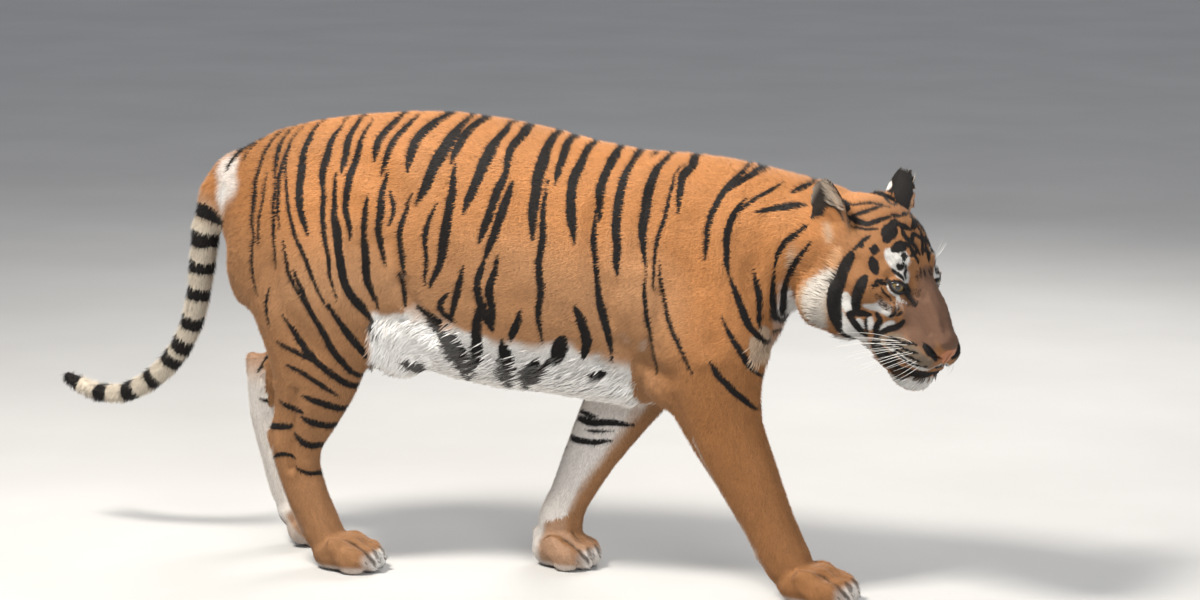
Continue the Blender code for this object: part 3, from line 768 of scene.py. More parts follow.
def make_skin():
    """The skin's shape, and at each of its points its node, the coat's lie and measures, and its clefts."""
    points, faces, owner = joined_flesh()
    whole = bpy.data.meshes.new("flesh")
    whole.from_pydata(points, [], faces)
    source = link("flesh", whole)
    remesh = source.modifiers.new("remesh", "REMESH")
    remesh.mode = "VOXEL"
    remesh.voxel_size = SKIN_VOXEL
    mesh = baked(source, "skin")
    bpy.data.objects.remove(source)

    for where in (in_face_or_feet, in_features, in_eyes):
        finer(mesh, where)

    tree = BVHTree.FromPolygons(points, faces)
    surface = Surface(mesh)
    region = regions_of(surface.points, tree, owner)
    table = np.array([coat_entry(n)[:3] for n in FLESH])
    lies = np.array([coat_entry(n)[3] for n in FLESH], float)
    is_ear, is_head = IS_EAR[region], IS_HEAD[region]

    surface.smooth(10, np.where(is_ear, 0.30, 0.55))

    local = to_head(surface.points)
    depth, length, width = (table[region, k] for k in range(3))
    # The sides of the cheeks carry a ruff, and the face itself has short hair.
    cheek = is_head * step(0.075, 0.030, local[:, 0]) * step(0.075, 0.105, np.abs(local[:, 1]))
    cheek = np.maximum(cheek, is_head * step(0.13, 0.08, local[:, 0]) * step(-0.105, -0.135, local[:, 2]))
    depth = depth + 6.0 * np.maximum(cheek, 0.4 * is_head * step(0.13, 0.06, local[:, 0]))
    length = length + 8.0 * cheek
    width = width + 0.6 * cheek
    muzzle = is_head * step(0.17, 0.22, local[:, 0])
    depth = depth - 1.4 * muzzle
    length = length - 3.0 * muzzle
    width = width - 0.4 * muzzle
    depth, length, width = (surface.spread(v, 24, 0.9) for v in (depth, length, width))

    normals = surface.normals()
    trunk = IS_TRUNK[region]
    under = trunk * step(-0.35, -0.8, normals[:, 2])
    sole = step(SOLE_HEIGHT, 0.004, surface.points[:, 2]) * step(-0.4, -0.8, normals[:, 2])
    inward = depth * MM * (1.0 - sole)
    inward = surface.spread(inward, 6, 0.8)
    surface.points -= normals * inward[:, None]
    surface.smooth(3, np.where(is_ear, 0.15, 0.4))
    shape_body(surface, region)
    toe_cleft = shape_paws(surface)
    shape_face(surface)
    surface.points[:, 2] = np.maximum(surface.points[:, 2], 0.0)
    surface.write()

    local = to_head(surface.points)
    flow = lies[region]
    nose = np.array([0.30, 0.0, -0.055])
    back = unit(np.column_stack([local[:, 0] - nose[0], local[:, 1] * 1.2, (local[:, 2] - nose[2]) * 0.9]))
    back[:, 0] -= 0.35
    down = step(-0.05, -0.13, local[:, 2])
    back[:, 2] -= 0.8 * down * step(0.18, 0.08, local[:, 0])
    flow = np.where(is_head[:, None], unit(back) @ HEAD_AXES.T, flow)
    ears = np.tile([-0.30, 0.45, 0.85], (len(local), 1))
    ears[:, 1] *= np.sign(local[:, 1])
    flow = np.where(is_ear[:, None], unit(ears) @ HEAD_AXES.T, flow)
    flow = np.where(trunk[:, None], flow + np.outer(under, (0.2, 0.0, 0.2)), flow)
    flow = surface.spread(flow, 30, 0.9)
    return surface, region, flow, depth * MM, length * MM, width * MM, under, toe_cleft


# ---- Markings ----

# Each stripe in the side plane: start x, start z, end x, end z and bow in centimetres, and width in
# millimetres. The flank's come first, then the shoulder's and neck's, the haunch's and the shanks'.
FLANK_STRIPES = (
    (-26, 92, -27, 81, 0.8, 13),
    (-23.5, 91, -24.5, 68, 1.2, 13),
    (-21, 77, -19, 54, 1.2, 13),
    (-17, 92.5, -21, 84, 1.0, 15),
    (-14, 92, -19, 81, 1.0, 13),
    (-17.5, 82, -17, 63, 1.0, 13),
    (-16.5, 78, -16, 71, -0.5, 8),
    (-7, 93, -13, 82, 2.0, 19),
    (-11.5, 78, -12.7, 61, 1.3, 12),
    (-14, 62, -12.8, 55, 0.0, 10),
    (-3, 93, -10, 76, 0.5, 22),
    (-6, 76, -8, 60, 1.0, 8),
    (-3, 84, -7, 60, -1.5, 18),
    (1, 93, -4, 84, 1.0, 19),
    (6, 92, 0, 74, 0.5, 18),
    (-10, 55, -1, 39, -3.0, 24),
    (0, 64, -3, 53, 0.0, 12),
    (-3, 59, -2, 53, 2.5, 11),
    (11, 93, 8, 82, 1.5, 17),
    (8, 84, 3, 69, 0.0, 16),
    (9, 81, 4, 66, -0.5, 16),
    (4, 66, 6, 51, 1.5, 15),
    (7, 67, 6, 51, 0.5, 14),
    (3, 56, 1, 41, 0.0, 23),
    (15, 92, 14, 70, 0.5, 19),
    (16, 81, 16, 49, 0.0, 12),
    (18, 92, 18, 80, 0.0, 15),
    (23, 91, 23, 69, 1.5, 16),
    (29, 91, 27, 74, 1.0, 15),
    (26, 76, 30, 46, 0.5, 12),
    (33, 90, 32, 64, 2.0, 16),
    (12, 56, 10, 49, 0.0, 15),
    (8, 49, 8, 39, 0.0, 28),
    (14, 46, 11, 39, 0.0, 21),
    (17, 46, 13, 40, 0.0, 18),
    (21, 51, 18, 45, 0.0, 27),
    (23, 57, 24, 47, -1.5, 18),
    (28, 44, 25, 43, 0.0, 15),
    (-15, 44, -8, 40, -0.5, 22),
)

SHOULDER_STRIPES = (
    (40, 89, 37, 65, 2.5, 16),
    (37, 65, 39, 44, 0.0, 7),
    (42, 85, 39, 61, 1.0, 7),
    (44, 88, 43, 76, 0.5, 15),
    (56, 86, 49, 67, 2.5, 11),
    (61, 85, 52, 80, 1.0, 11),
    (56, 79, 54, 65, 2.0, 12),
    (54, 65, 61, 50, 0.5, 10),
    (62, 82, 55, 76, 0.5, 7),
    (68, 78, 58, 76, 0.3, 9),
    (68, 82, 64, 80, 0.0, 10),
    (69, 74.5, 62, 66, 1.5, 9),
    (62, 66, 61.5, 53, 0.6, 9),
    (69.5, 71.5, 62, 55, 1.3, 11),
    (58, 66, 60, 54, 0.0, 7),
    (53, 57, 60, 44, 0.5, 9),
    (51, 48, 59, 38, 0.5, 10),
    (40, 67, 48, 45, 2.0, 7),
    (28, 88, 35, 86, -0.4, 9),
)

HAUNCH_STRIPES = (
    (-34.5, 91, -32.8, 69, 2.0, 14),
    (-29.5, 91, -31, 78, 1.0, 10),
    (-30.5, 85, -26, 56, 1.5, 8),
    (-28, 81, -19.5, 50, 2.5, 14),
    (-50, 85.5, -55, 79.5, 1.0, 9),
    (-45.5, 88, -50.5, 82, 1.3, 7),
    (-43.5, 89, -44.7, 67, 1.8, 8),
    (-41.3, 89.5, -41, 79, 0.6, 8),
    (-38.7, 90, -39.2, 70, 1.2, 7),
    (-41, 80, -39.7, 62, 0.4, 5),
    (-43, 80.5, -43.7, 66, 0.6, 5),
    (-39.6, 84, -27.5, 54, 1.8, 7),
    (-38.4, 68, -32.6, 54, 0.8, 6),
    (-35.5, 62, -22, 37.5, 0.8, 12),
    (-28, 56, -19.5, 42, 0.6, 12),
    (-45.3, 68, -44.3, 56, 0.2, 5),
    (-41, 58, -41.5, 49.5, 0.8, 6),
    (-38.5, 52, -22, 36, 1.0, 13),
    (-40.5, 47, -31.5, 43, -0.4, 7),
    (-38, 42.5, -27.5, 36.3, -0.3, 9),
)

RIGHT_SHANK_STRIPES = (
    (-35, 36.3, -24, 33, 0.3, 12),
    (-35, 31.7, -26.5, 29.5, 0.4, 13),
    (-37, 28.3, -28.5, 26, 1.4, 12),
    (-44, 29.2, -37, 29.8, 0.0, 12),
    (-40.5, 35, -34.5, 32.5, 0.2, 9),
    (-42.5, 22.3, -36.5, 22.7, -0.9, 7),
    (-37, 21.3, -32, 19, 0.5, 6),
)

LEFT_SHANK_STRIPES = (
    (-46, 44, -36, 39, 0.5, 14),
    (-51, 40, -44, 34, 0.5, 13),
    (-56, 36, -49, 31, 0.4, 11),
    (-55, 30, -49, 28, 0.2, 9),
    (-54, 24, -49, 23, 0.2, 7),
)

# Bars on the inner sides of the limbs.
LEFT_ARM_INNER = (
    (15, 30.6, 29, 30.3, -0.2, 12),
    (19, 29, 25, 28.7, 0, 5),
    (14, 27, 25, 26.3, 0.2, 11),
    (16, 32.2, 22, 31.8, 0, 6),
)
RIGHT_ARM_INNER = (
    (47, 36, 57, 34, 0.4, 12),
    (50, 29, 60, 27, 0.4, 11),
    (55, 22, 62, 21, 0.2, 8),
    (42, 44, 54, 42, 0.4, 12),
)
LEFT_THIGH_INNER = (
    (-42, 46, -54, 36, 0.6, 9),
    (-53, 31, -49, 30, 0, 6),
    (-34, 52, -42, 43, 0.6, 12),
    (-30, 60, -38, 52, 0.6, 12),
)
RIGHT_THIGH_INNER = ((-30, 50, -22, 42, 0.6, 12), (-35, 42, -26, 36, 0.5, 11), (-39, 33, -31, 30, 0.4, 9))
# The left foreleg's outer side.
LEFT_ARM_OUTER = ((16, 34, 26, 36, 0.5, 8), (12, 25, 19, 24, 0.3, 6))

# Where the white of the underside begins: along the body, and the height, in centimetres.
WHITE_LINE_X = (-40, -26, -19, -3, 5, 12, 21, 31, 36, 42, 50, 58, 62, 67, 72)
WHITE_LINE_Z = (47, 50.5, 54, 53, 50, 48, 47, 45.5, 43, 37, 34, 36, 40, 51, 57)
# A stripe is drawn broader than its named width, by a factor and then by so many millimetres, as pale hairs
# cross its edges. The face's are broadened by their own factor alone.
STRIPE_BREADTH = 1.10
STRIPE_SPREAD = 1.6
FACE_BREADTH = 1.32

# Marks of the face, in millimetres in the head's frame: path and width.
FACE_STRIPES = (
    (((61, 101, 37), (60, 108, 1), (69, 116, -32), (86, 122, -65), (103, 111, -102)), 23),  # across the cheek
    (((60, 98, 46), (64, 88, 69), (69, 78, 85)), 7),
    (((109, 100, 18), (112, 108, -2), (111, 101, -31), (119, 96, -52)), 19),
    (((69, 89, 66), (70, 90, 62)), 8),
    (((92, 81, 73), (95, 82, 66)), 17),
    (((100, 86, 52), (118, 85, 34)), 15),
    (((82, 39, 115), (98, 60, 95)), 24),
    (((119, 56, 84), (124, 32, 93)), 18),
    (((137, 43, 81), (141, 45, 77)), 13),
    (((144, 62, 63), (153, 60, 60), (156, 52, 68)), 8),
    (((137, 67, 50), (155, 61, 48), (169, 54, 47)), 6),
    (((158, 51, 67), (165, 48, 58), (172, 47, 49)), 5),
    (((135, 92, 11), (134, 85, 20), (141, 78, 21)), 10),
    (((148, 88, -3), (159, 81, -15), (177, 75, -15), (184, 68, -7)), 10),
    (((177, 70, -34), (186, 70, -16)), 7),
    (((189, 68, -24), (195, 64, -12)), 5),
    (((166, 72, -82), (181, 66, -61), (195, 59, -46), (202, 58, -30)), 10),
    (((109, 107, -64), (124, 103, -73), (137, 91, -85), (145, 74, -97)), 10),
    (((110, 106, -63), (124, 93, -56), (142, 83, -50)), 11),
    (((152, 78, -42), (161, 74, -51), (160, 73, -69), (162, 73, -86)), 10),
    (((138, 84, -59), (141, 82, -73), (148, 74, -91)), 5),
    (((107, 109, -100), (121, 97, -112), (135, 84, -117)), 10),
    (((-30, 66, 107), (-10, 45, 115), (12, 20, 122), (40, 7, 127)), 7),
    (((8, 68, 98), (20, 49, 113), (30, 20, 124)), 9),
    (((2, 84, 92), (11, 74, 94), (39, 71, 98), (55, 57, 110), (63, 30, 122)), 10),
    (((22, 82, 82), (54, 75, 93), (70, 62, 102)), 5),
    (((63, 22, 124), (70, 4, 125)), 9),
    (((74, 32, 120), (95, 18, 118), (104, 3, 113)), 11),
    (((112, 0, 108), (121, 12, 102), (128, 29, 92)), 8),
    (((96, 24, 116), (113, 26, 104), (128, 15, 97), (146, 4, 81)), 8),
    (((76, 26, 121), (86, 42, 111)), 14),
    (((130, 24, 93), (145, 20, 80), (156, 16, 70)), 8),
    (((139, 5, 87), (144, 30, 78)), 7),
    (((164, 16, 62), (177, 19, 49)), 4),
    (((169, 7, 60), (178, 8, 51)), 4),
    (((168, 25, 58), (178, 28, 45)), 4),
    (((-50, 56, 96), (-30, 62, 108), (-8, 70, 105)), 20),  # behind the root of the ear
)

WHISKER_ROWS = (
    ((192, 64, -72), (222, 64, -64), (248, 58, -56)),
    ((190, 66, -80), (228, 64, -73), (258, 54, -66)),
    ((192, 66, -88), (235, 60, -82), (266, 46, -76)),
    ((200, 62, -95), (240, 52, -91), (270, 38, -85)),
)

# Patches of plain colour on the face, some of them painted shade: path, half width, softness, all in
# millimetres, and the colour.
FACE_PATCHES = (
    (((185, 0, 50), (232, 0, 12), (282, 0, -30)), 38, 14, SHADED_BRIDGE),
    # The bridge's brown carried down the sides of the muzzle towards the nose: painted shade.
    (((202, 46, -8), (230, 48, -36), (266, 42, -46)), 22, 14, SHADED_BRIDGE),
    (((196, 60, -52), (214, 62, -60)), 16, 14, SHADED_BRIDGE),
    (((194, 34, 22), (226, 36, -10), (260, 34, -34)), 15, 12, SHADED_BRIDGE),
    (((252, 18, -18), (276, 12, -40)), 13, 10, SHADED_BRIDGE),
    # Painted shade at the back of the whisker pad.
    (((168, 76, -78), (182, 71, -84)), 10, 8, SHADED_MUZZLE),
    (((118, 66, 76), (132, 62, 66), (150, 56, 58), (170, 46, 46)), 14, 5, FACE_WHITE),
    (((128, 48, 86), (150, 44, 70)), 10, 5, FACE_WHITE),
    (((168, 49, 52), (179, 47, 40)), 6, 4, FACE_WHITE),
    (((143, 77, 20), (158, 69, 11), (174, 60, 6), (188, 52, 2)), 4.5, 1.5, WHITE),
    (((88, 104, -38), (103, 104, -55)), 14, 5, FACE_WHITE),
    (((94, 114, -70), (118, 106, -90), (140, 76, -104)), 11, 4, FACE_WHITE),
    (((132, 94, -69), (139, 86, -82)), 8, 3, FACE_WHITE),
    (((145, 81, -58), (149, 77, -76)), 8, 3, FACE_WHITE),
    (((131, 91, -36), (158, 79, -27), (178, 71, -30)), 8, 5, FACE_WHITE),
    (((170, 69, -69), (184, 64, -45)), 9, 4, FACE_WHITE),
    # Painted shade over the whisker pad.
    (((196, 64, -78), (232, 60, -76), (268, 40, -76)), 24, 12, SHADED_MUZZLE),
    (((200, 68, -86), (229, 64, -93), (262, 54, -94), (276, 24, -96), (284, 4, -86)), 7, 4, FACE_WHITE),
    (((258, 0, -126), (240, 14, -138), (215, 18, -146)), 15, 6, FACE_WHITE),
    (((150, 50, -140), (110, 80, -135)), 30, 12, FACE_WHITE),
    # The ruff on the cheek, its cream darkened partly as painted shade.
    (((44, 112, -8), (42, 130, -60), (66, 122, -112)), 22, 18, SHADED_RUFF),
    (((28, 108, 30), (34, 112, 0)), 14, 14, TAN),
    (((-20, 103, 62), (-4, 109, 42)), 5, 26, SANDY),
)

# Dark skin at the corners of the eyes and on the lips: path and half width.
EYE_CORNER_MARKS = (
    (((170, 53, 30), (181, 46, 22), (191, 40, 12), (197, 37, 3)), 10),
    (((146, 72, 24), (138, 78, 20), (132, 82, 20)), 4),
    (((140, 80, 12), (154, 74, 1), (172, 66, -5)), 2.5),
)
LIP_MARKS = (
    (((165, 77, -92), (176, 74, -104), (196, 70, -112), (214, 58, -127), (232, 38, -137)), 16),
    (((228, 47, -122), (250, 39, -121), (268, 24, -116), (274, 4, -112)), 11),
    (((262, 48, -47), (275, 42, -59), (284, 24, -70)), 9),
    (((176, 66, -100), (205, 60, -98), (240, 52, -98)), 5),
)


def strokes_of(stripes):
    """Paths and half widths in metres."""
    made = []
    for x0, z0, x1, z1, bow, width in stripes:
        path = bowed((x0 * CM, z0 * CM), (x1 * CM, z1 * CM), bow * CM)
        made.append((path, (STRIPE_BREADTH * width + STRIPE_SPREAD) * MM / 2.0))
    return made


TAIL_POINTS = (
    (-47.0, 0.6, 82.0),
    (-55.5, 0.6, 79.5),
    (-59.7, 0.8, 74.5),
    (-61.7, 1.2, 68.0),
    (-63.0, 1.8, 61.0),
    (-64.5, 2.6, 53.5),
    (-66.5, 3.5, 47.0),
    (-69.5, 4.4, 41.2),
    (-74.0, 5.3, 36.2),
    (-79.0, 6.2, 32.5),
    (-84.5, 7.1, 30.2),
    (-90.0, 8.0, 30.0),
    (-95.0, 8.8, 31.6),
    (-99.0, 9.4, 33.3),
)
TAIL_LINE = rounded(np.array(TAIL_POINTS) * CM)
# The pale patch on the rump: how far back and up its centre is, and its half length and height, in
# centimetres.
RUMP_PATCH = (54.5, 77.5, 3.6, 6.0)
TAIL_RINGS = (19.5, 25.5, 31.5, 37.5, 44, 50, 54, 60.5, 67, 74)  # centimetres along the tail
TAIL_RING_WIDTH = 0.028
TAIL_TIP = 0.80  # the tail is dark from here on
ROOT_MARK = 0.155  # and has a slanting mark here, 16 mm wide
ROOT_MARK_HALF = 0.008


def along_tail(points):
    """How far along the tail each point is, from its root."""
    best = np.full(len(points), 1e9)
    place = np.zeros(len(points))
    run = 0.0
    for a, b in zip(TAIL_LINE, TAIL_LINE[1:]):
        ab = b - a
        size = np.linalg.norm(ab)
        t = np.clip(((points - a) @ ab) / (size * size), 0.0, 1.0)
        away = np.linalg.norm(points - a - t[:, None] * ab, axis=1)
        nearer = away < best
        best = np.where(nearer, away, best)
        place = np.where(nearer, run + t * size, place)
        run += size
    return place


TRUNK_STROKES = strokes_of(FLANK_STRIPES + SHOULDER_STRIPES + HAUNCH_STRIPES)
RIGHT_STROKES = TRUNK_STROKES + strokes_of(RIGHT_SHANK_STRIPES)
MIDDLE = 0.0055  # the body's middle plane
LEFT_SHIFT = 0.012  # the left side's stripes stand this much further back than the right side's
LEFT_LEG_STROKES = strokes_of(LEFT_SHANK_STRIPES + LEFT_ARM_OUTER)
LEFT_ARM_STROKES = strokes_of(LEFT_ARM_INNER)
RIGHT_ARM_STROKES = strokes_of(RIGHT_ARM_INNER)
LEFT_THIGH_STROKES = strokes_of(LEFT_THIGH_INNER)
RIGHT_THIGH_STROKES = strokes_of(RIGHT_THIGH_INNER)


class Paint:
    """The markings at some places on the skin or the coat.

    Colour is the plain coat's. Mark is how far inside a dark mark each place is, in metres, and leather is 1
    where the skin is bare. Each method paints over what the ones before it have done.
    """

    def __init__(self, points, normals, region):
        still = np.zeros(len(points))
        self.points, self.normals, self.region = points, normals, region
        self.broad, self.fine = noise(points, 0.11, 1), noise(points, 0.035, 2)
        self.wobble = np.column_stack([noise(points, 0.05, 3), still, noise(points, 0.05, 4)]) * 0.006
        self.wobble[:, 0] += noise(points, 0.014, 5) * 0.0010
        self.local = to_head(points)
        self.folded = mirrored(self.local)
        self.x, self.z = points[:, 0] / CM, points[:, 2] / CM
        self.trunk, self.limb, self.tail = IS_TRUNK[region], IS_LIMB[region], IS_TAIL[region]
        self.head, self.fore, self.left_node = IS_HEAD[region], IS_FORE[region], IS_LEFT[region]
        self.nape = self.head & (self.local[:, 0] < 0.025) & (self.local[:, 2] < 0.07)
        # How squarely a limb's surface faces the other limb of its pair.
        self.facing = np.where(self.left_node, -normals[:, 1], normals[:, 1])
        self.mark = np.full(len(points), FAR)
        self.leather = still
        self.plain_coat()
        self.side_stripes()
        self.rump_and_tail()
        self.paws()
        self.face()
        self.bare_skin()
        self.ears()
        self.colour = np.clip(self.colour, 0.0, 1.0)

    def plain_coat(self):
        """Darkest along the back, pale low on the flank, warm on the shoulders and legs, white below, with
        painted shade on the legs, the rump and low on the flank.
        """
        x, z, broad, fine = self.x, self.z, self.broad, self.fine
        limb, trunk, fore = self.limb, self.trunk, self.fore
        forwards, upwards = self.normals[:, 0], self.normals[:, 2]
        colour = mix(TAN, ORANGE, np.clip(step(55, 78, z) + step(34, 52, x) + 0.25 * broad, 0, 1))
        colour = mix(colour, BACK, step(86, 92.5, z) * 0.8)
        colour = colour * (1.0 + 0.10 * broad + 0.05 * fine)[:, None]

        above = z - np.interp(x, WHITE_LINE_X, WHITE_LINE_Z)
        low = step(2.0, -2.0, above + 2.2 * broad + 1.6 * fine)
        white = np.where(limb, low * step(0.4, -0.2, -self.facing) * step(40, 47, z), low * trunk)
        white = np.maximum(white, trunk * step(-0.35, -0.70, upwards))
        breast = IS_NECK[self.region] * step(-0.2, -0.7, upwards) * step(60, 54, z)
        white = np.maximum(white, breast * 0.7)
        # The legs' inner sides, but for the front of the foreleg and the hind leg above its hock.
        inner = limb * step(0.15, 0.60, self.facing + 0.12 * fine)
        inner = inner * np.where(IS_FOOT[self.region], 0.25, 1.0)
        hock = 1.0 - 0.75 * step(32, 40, z + broad) * step(60, 50, z)
        inner = inner * np.where(fore, step(0.62, 0.20, forwards), hock)
        white = np.maximum(white, inner * 0.9)
        # The flap of loose skin in front of the thigh is white right round.
        flap = step(-21.2, -19.8, x + 0.5 * fine) * step(8, 4, x) * step(1.0, -1.0, above + 1.2 * fine)
        white = np.maximum(white, flap * (trunk | limb & ~fore))
        colour = mix(colour, WHITE, white)
        colour = mix(colour, TAN, limb * step(42, 12, z) * 0.25 * (1.0 - white))

        # Painted shade: the legs, the rump and a band low on the flank are darkened towards russet, where
        # shade falls.
        deep = np.where(limb, 0.60 * step(66, 46, z + 2 * broad), 0.0)
        rump_shade = step(-28, -46, x + 3 * broad) * step(96, 86, z) * (trunk | limb)
        low_flank_shade = 0.42 * step(16, 4, np.abs(above - 6.0) + 2 * broad) * trunk
        colour = mix(colour, RUSSET_SHADE, np.maximum(np.maximum(deep, 0.55 * rump_shade), low_flank_shade) * (1.0 - white))
        heel = limb * IS_LOWER[self.region] * step(0.60, 0.88, -forwards) * step(5, 9, z)
        self.colour = mix(colour, WHITE, heel * 0.55)

    def side_stripes(self):
        """The stripes of the trunk, neck and limbs, which run through the body from side to side."""
        limb, fore, shank = self.limb, self.fore, IS_SHANK[self.region]
        sideways = self.points[:, 1] - MIDDLE
        left = np.where(limb, self.left_node, sideways > 0.0)
        flat = (self.points + self.wobble)[:, [0, 2]]
        shifted = flat + np.outer(LEFT_SHIFT * step(0.0, 0.06, sideways), (1.0, 0.0))
        outer = (self.trunk | limb | self.nape) & (~limb | (self.facing < 0.40))
        inner = limb & ~outer
        sides = (
            (outer & ~left, flat, RIGHT_STROKES),
            (outer & left & ~(shank | fore), shifted, TRUNK_STROKES),
            (outer & left & limb, flat, LEFT_LEG_STROKES),
            (inner & left & fore, flat, LEFT_ARM_STROKES),
            (inner & ~left & fore, flat, RIGHT_ARM_STROKES),
            (inner & left & ~fore, flat, LEFT_THIGH_STROKES),
            (inner & ~left & ~fore, flat, RIGHT_THIGH_STROKES),
        )
        for chosen, places, strokes in sides:
            index = np.flatnonzero(chosen)
            self.mark[index] = np.maximum(self.mark[index], inside(places[index], strokes))

    def rump_and_tail(self):
        """A whitish patch beside the tail's root; the tail orange at first, then pale with dark rings."""
        back, up, half_length, half_height = RUMP_PATCH
        pale = 1.0 - np.hypot((self.x + back) / half_length, (self.z - up) / half_height)
        pale = step(-0.25, 0.55, pale + 0.30 * self.fine) * (self.trunk | self.tail)
        self.colour = mix(self.colour, WHITE, pale * 0.75)
        index = np.flatnonzero(self.tail)
        points, forwards = self.points[index], self.normals[index, 0]
        place = along_tail(points) + 0.006 * noise(points, 0.03, 6)
        nearest = np.min(np.abs(place[:, None] - np.array(TAIL_RINGS) * CM), axis=1)
        ring = np.maximum(TAIL_RING_WIDTH / 2.0 - nearest, place - TAIL_TIP)
        slant = place + 0.35 * (points[:, 1] - MIDDLE)
        oblique = ROOT_MARK_HALF - np.abs(slant - ROOT_MARK) - 0.02 * step(0.1, -0.4, forwards)
        self.mark[index] = np.maximum(self.mark[index], np.maximum(ring, oblique))
        under = step(0.1, 0.6, forwards) * step(0.04, 0.07, place) * step(0.17, 0.13, place)
        tone = mix(mix(self.colour[index], ORANGE, 0.6), TAIL_WHITE, step(0.14, 0.24, place))
        self.colour[index] = mix(tone, WHITE, np.maximum(under, pale[index]))

    def paws(self):
        """Tan above, with whitish toes and heels, painted shade round the claws' sheaths, and bare pads."""
        for name in PAWS:
            index = np.flatnonzero(self.region == FLESH.index(name))
            along, across, high = in_paw(self.points[index], name).T
            tip = step(0.80, 0.92, along + 0.03 * self.fine[index]) * step(0.66, 0.48, high)
            skirt = step(0.24, 0.10, high + 0.05 * self.broad[index])
            tone = mix(self.colour[index], WHITE, np.maximum(tip * 0.8, skirt * 0.5))
            toe = np.min(np.abs(across[:, None] - np.array(TOES)), axis=1)
            sheath = np.hypot((along - 0.93) / 0.045, toe / 0.035)
            # Painted shade round the sheath of each claw.
            tone = mix(tone, CLEFT_SHADE, step(1.3, 0.7, sheath) * step(0.35, 0.45, high) * 0.75)
            heel = step(0.36, 0.20, along) * step(0.0, 0.4, self.facing[index])
            self.colour[index] = mix(tone, WHITE, heel * 0.8)
            down = self.normals[index] @ paw_frame(name)[1][:, 2]
            self.leather[index] = step(-0.60, -0.80, down) * step(0.14, 0.05, high)

    def face(self):
        """The patches of colour on the face, some of them painted shade, its stripes, and the rows of spots
        on the whisker pads.
        """
        index = np.flatnonzero(self.head | (IS_NECK[self.region] & (self.local[:, 0] > -0.03)))
        face = self.folded[index] + (self.wobble[index] @ HEAD_AXES) * 0.45
        # The face's orange over the front of the head, darkened partly as painted shade.
        tone = mix(self.colour[index], SHADED_FACE, step(-0.04, 0.03, self.local[index, 0]) * 0.9)
        tone = mix(tone, CREAM, step(0.115, 0.135, face[:, 1]) * step(0.02, -0.04, face[:, 2]) * 0.6)
        for path, half, soft, shade in FACE_AREAS:
            depth = inside(face, [(path, half)], ends=0.3, margin=0.05)
            tone = mix(tone, shade, step(-soft / 2, soft / 2, depth))
        self.colour[index] = tone
        mark = np.where((self.head & ~self.nape)[index], FAR, self.mark[index])
        mark = np.maximum(mark, inside(face, FACE_STROKES, ends=0.4))
        spots = inside(face, WHISKER_STROKES, ends=0.1) + 0.0009 * np.sin(face[:, 0] / 0.0021)
        self.mark[index] = np.maximum(mark, spots)

    def bare_skin(self):
        """Dark skin round the eyes and on the lips, the nose, and the pads of the paws, with painted shade in
        the nostrils and the groove below the nose.
        """
        head, local, folded, mark = self.head, self.local, self.folded, self.mark
        colour = mix(self.colour, PAD, self.leather)
        gap = gap_to_eyes(self.points)
        liner = np.maximum(0.0046 - gap, inside(folded, EYE_CORNERS, ends=0.5))
        mark = np.where((gap < 0.02) & (liner > -0.001), liner, mark)
        mark = np.maximum(mark, liner)
        leather = np.maximum(self.leather, step(0.0030, 0.0012, gap))
        away = MOUTH_STROKE[0][1] - inside(folded, MOUTH_STROKE, ends=0.0)
        lips = inside(folded + (self.wobble @ HEAD_AXES) * 0.4, LIP_STROKES, ends=0.5)
        mark = np.where(head, np.maximum(mark, np.maximum(0.0042 - away, lips)), mark)
        leather = np.where(head, np.maximum(leather, step(0.0040, 0.0022, away)), leather)
        pad = nose_pad(local) * head
        groove = groove_below_nose(local) * pad
        colour = mix(colour, NOSE_PINK, pad)
        # Painted shade in the nostrils and along the groove of the nose's pad.
        colour = mix(colour, NOSE_DARK, np.maximum(nostril(local) * head, groove * 0.7))
        self.colour = mix(colour, NOSE_DARK, pad * step(0.85, 0.3, pad) * 0.8)
        self.mark = np.where(pad > 0.5, FAR, mark)
        self.leather = np.maximum(leather, pad)

    def ears(self):
        """Black behind with a white spot; in the bowl grey hair, a painted shadow low down and a tan front
        edge.
        """
        index = np.flatnonzero(IS_EAR[self.region])
        in_bowl, high, across = ear_place(self.local[index], self.normals[index])
        ragged = high + 0.05 * self.fine[index]
        bowl = mix(EAR_HAIR, EAR_SKIN, step(0.55, 0.95, ragged) * 0.5)
        # Painted shadow low in the bowl, where it is deepest.
        bowl = mix(bowl, EAR_SHADOW, step(1.02, 0.78, ragged + 0.50 * np.abs(across - 0.15)) * 0.95)
        bowl = mix(bowl, SHADED_FACE, step(-0.30, -0.60, across) * 0.85)
        tone = mix(mix(SHADED_FACE, EAR_HAIR, 0.2), bowl, in_bowl)
        behind = (1.0 - in_bowl) * step(-0.95, -0.70, across)
        spot = 1.0 - np.hypot((high - 0.58) / 0.10, (across - 0.50) / 0.36)
        spot = np.where(in_bowl > 0.5, -1.0, spot)
        self.colour[index] = mix(tone, WHITE, step(-0.05, 0.10, spot))
        self.mark[index] = np.where(spot > 0.0, -0.01, 0.012 * behind * step(0.02, 0.14, high) - 0.006)


def paint(points, normals, region, cleft):
    """The colour, mark and leather at each place, with painted shade in the clefts between the toes."""
    made = Paint(points, normals, region)
    return mix(made.colour, CLEFT_SHADE, step(0.0, 0.004, cleft) * 0.8), made.mark, made.leather


EAR_BASE = np.array([-0.008, 0.083, 0.062])
EAR_HEIGHT = 0.104
EAR_HALF_WIDTH = 0.045
EAR_TILT = (24.0, -22.0, 74.0)  # outward, back, and turned to the side


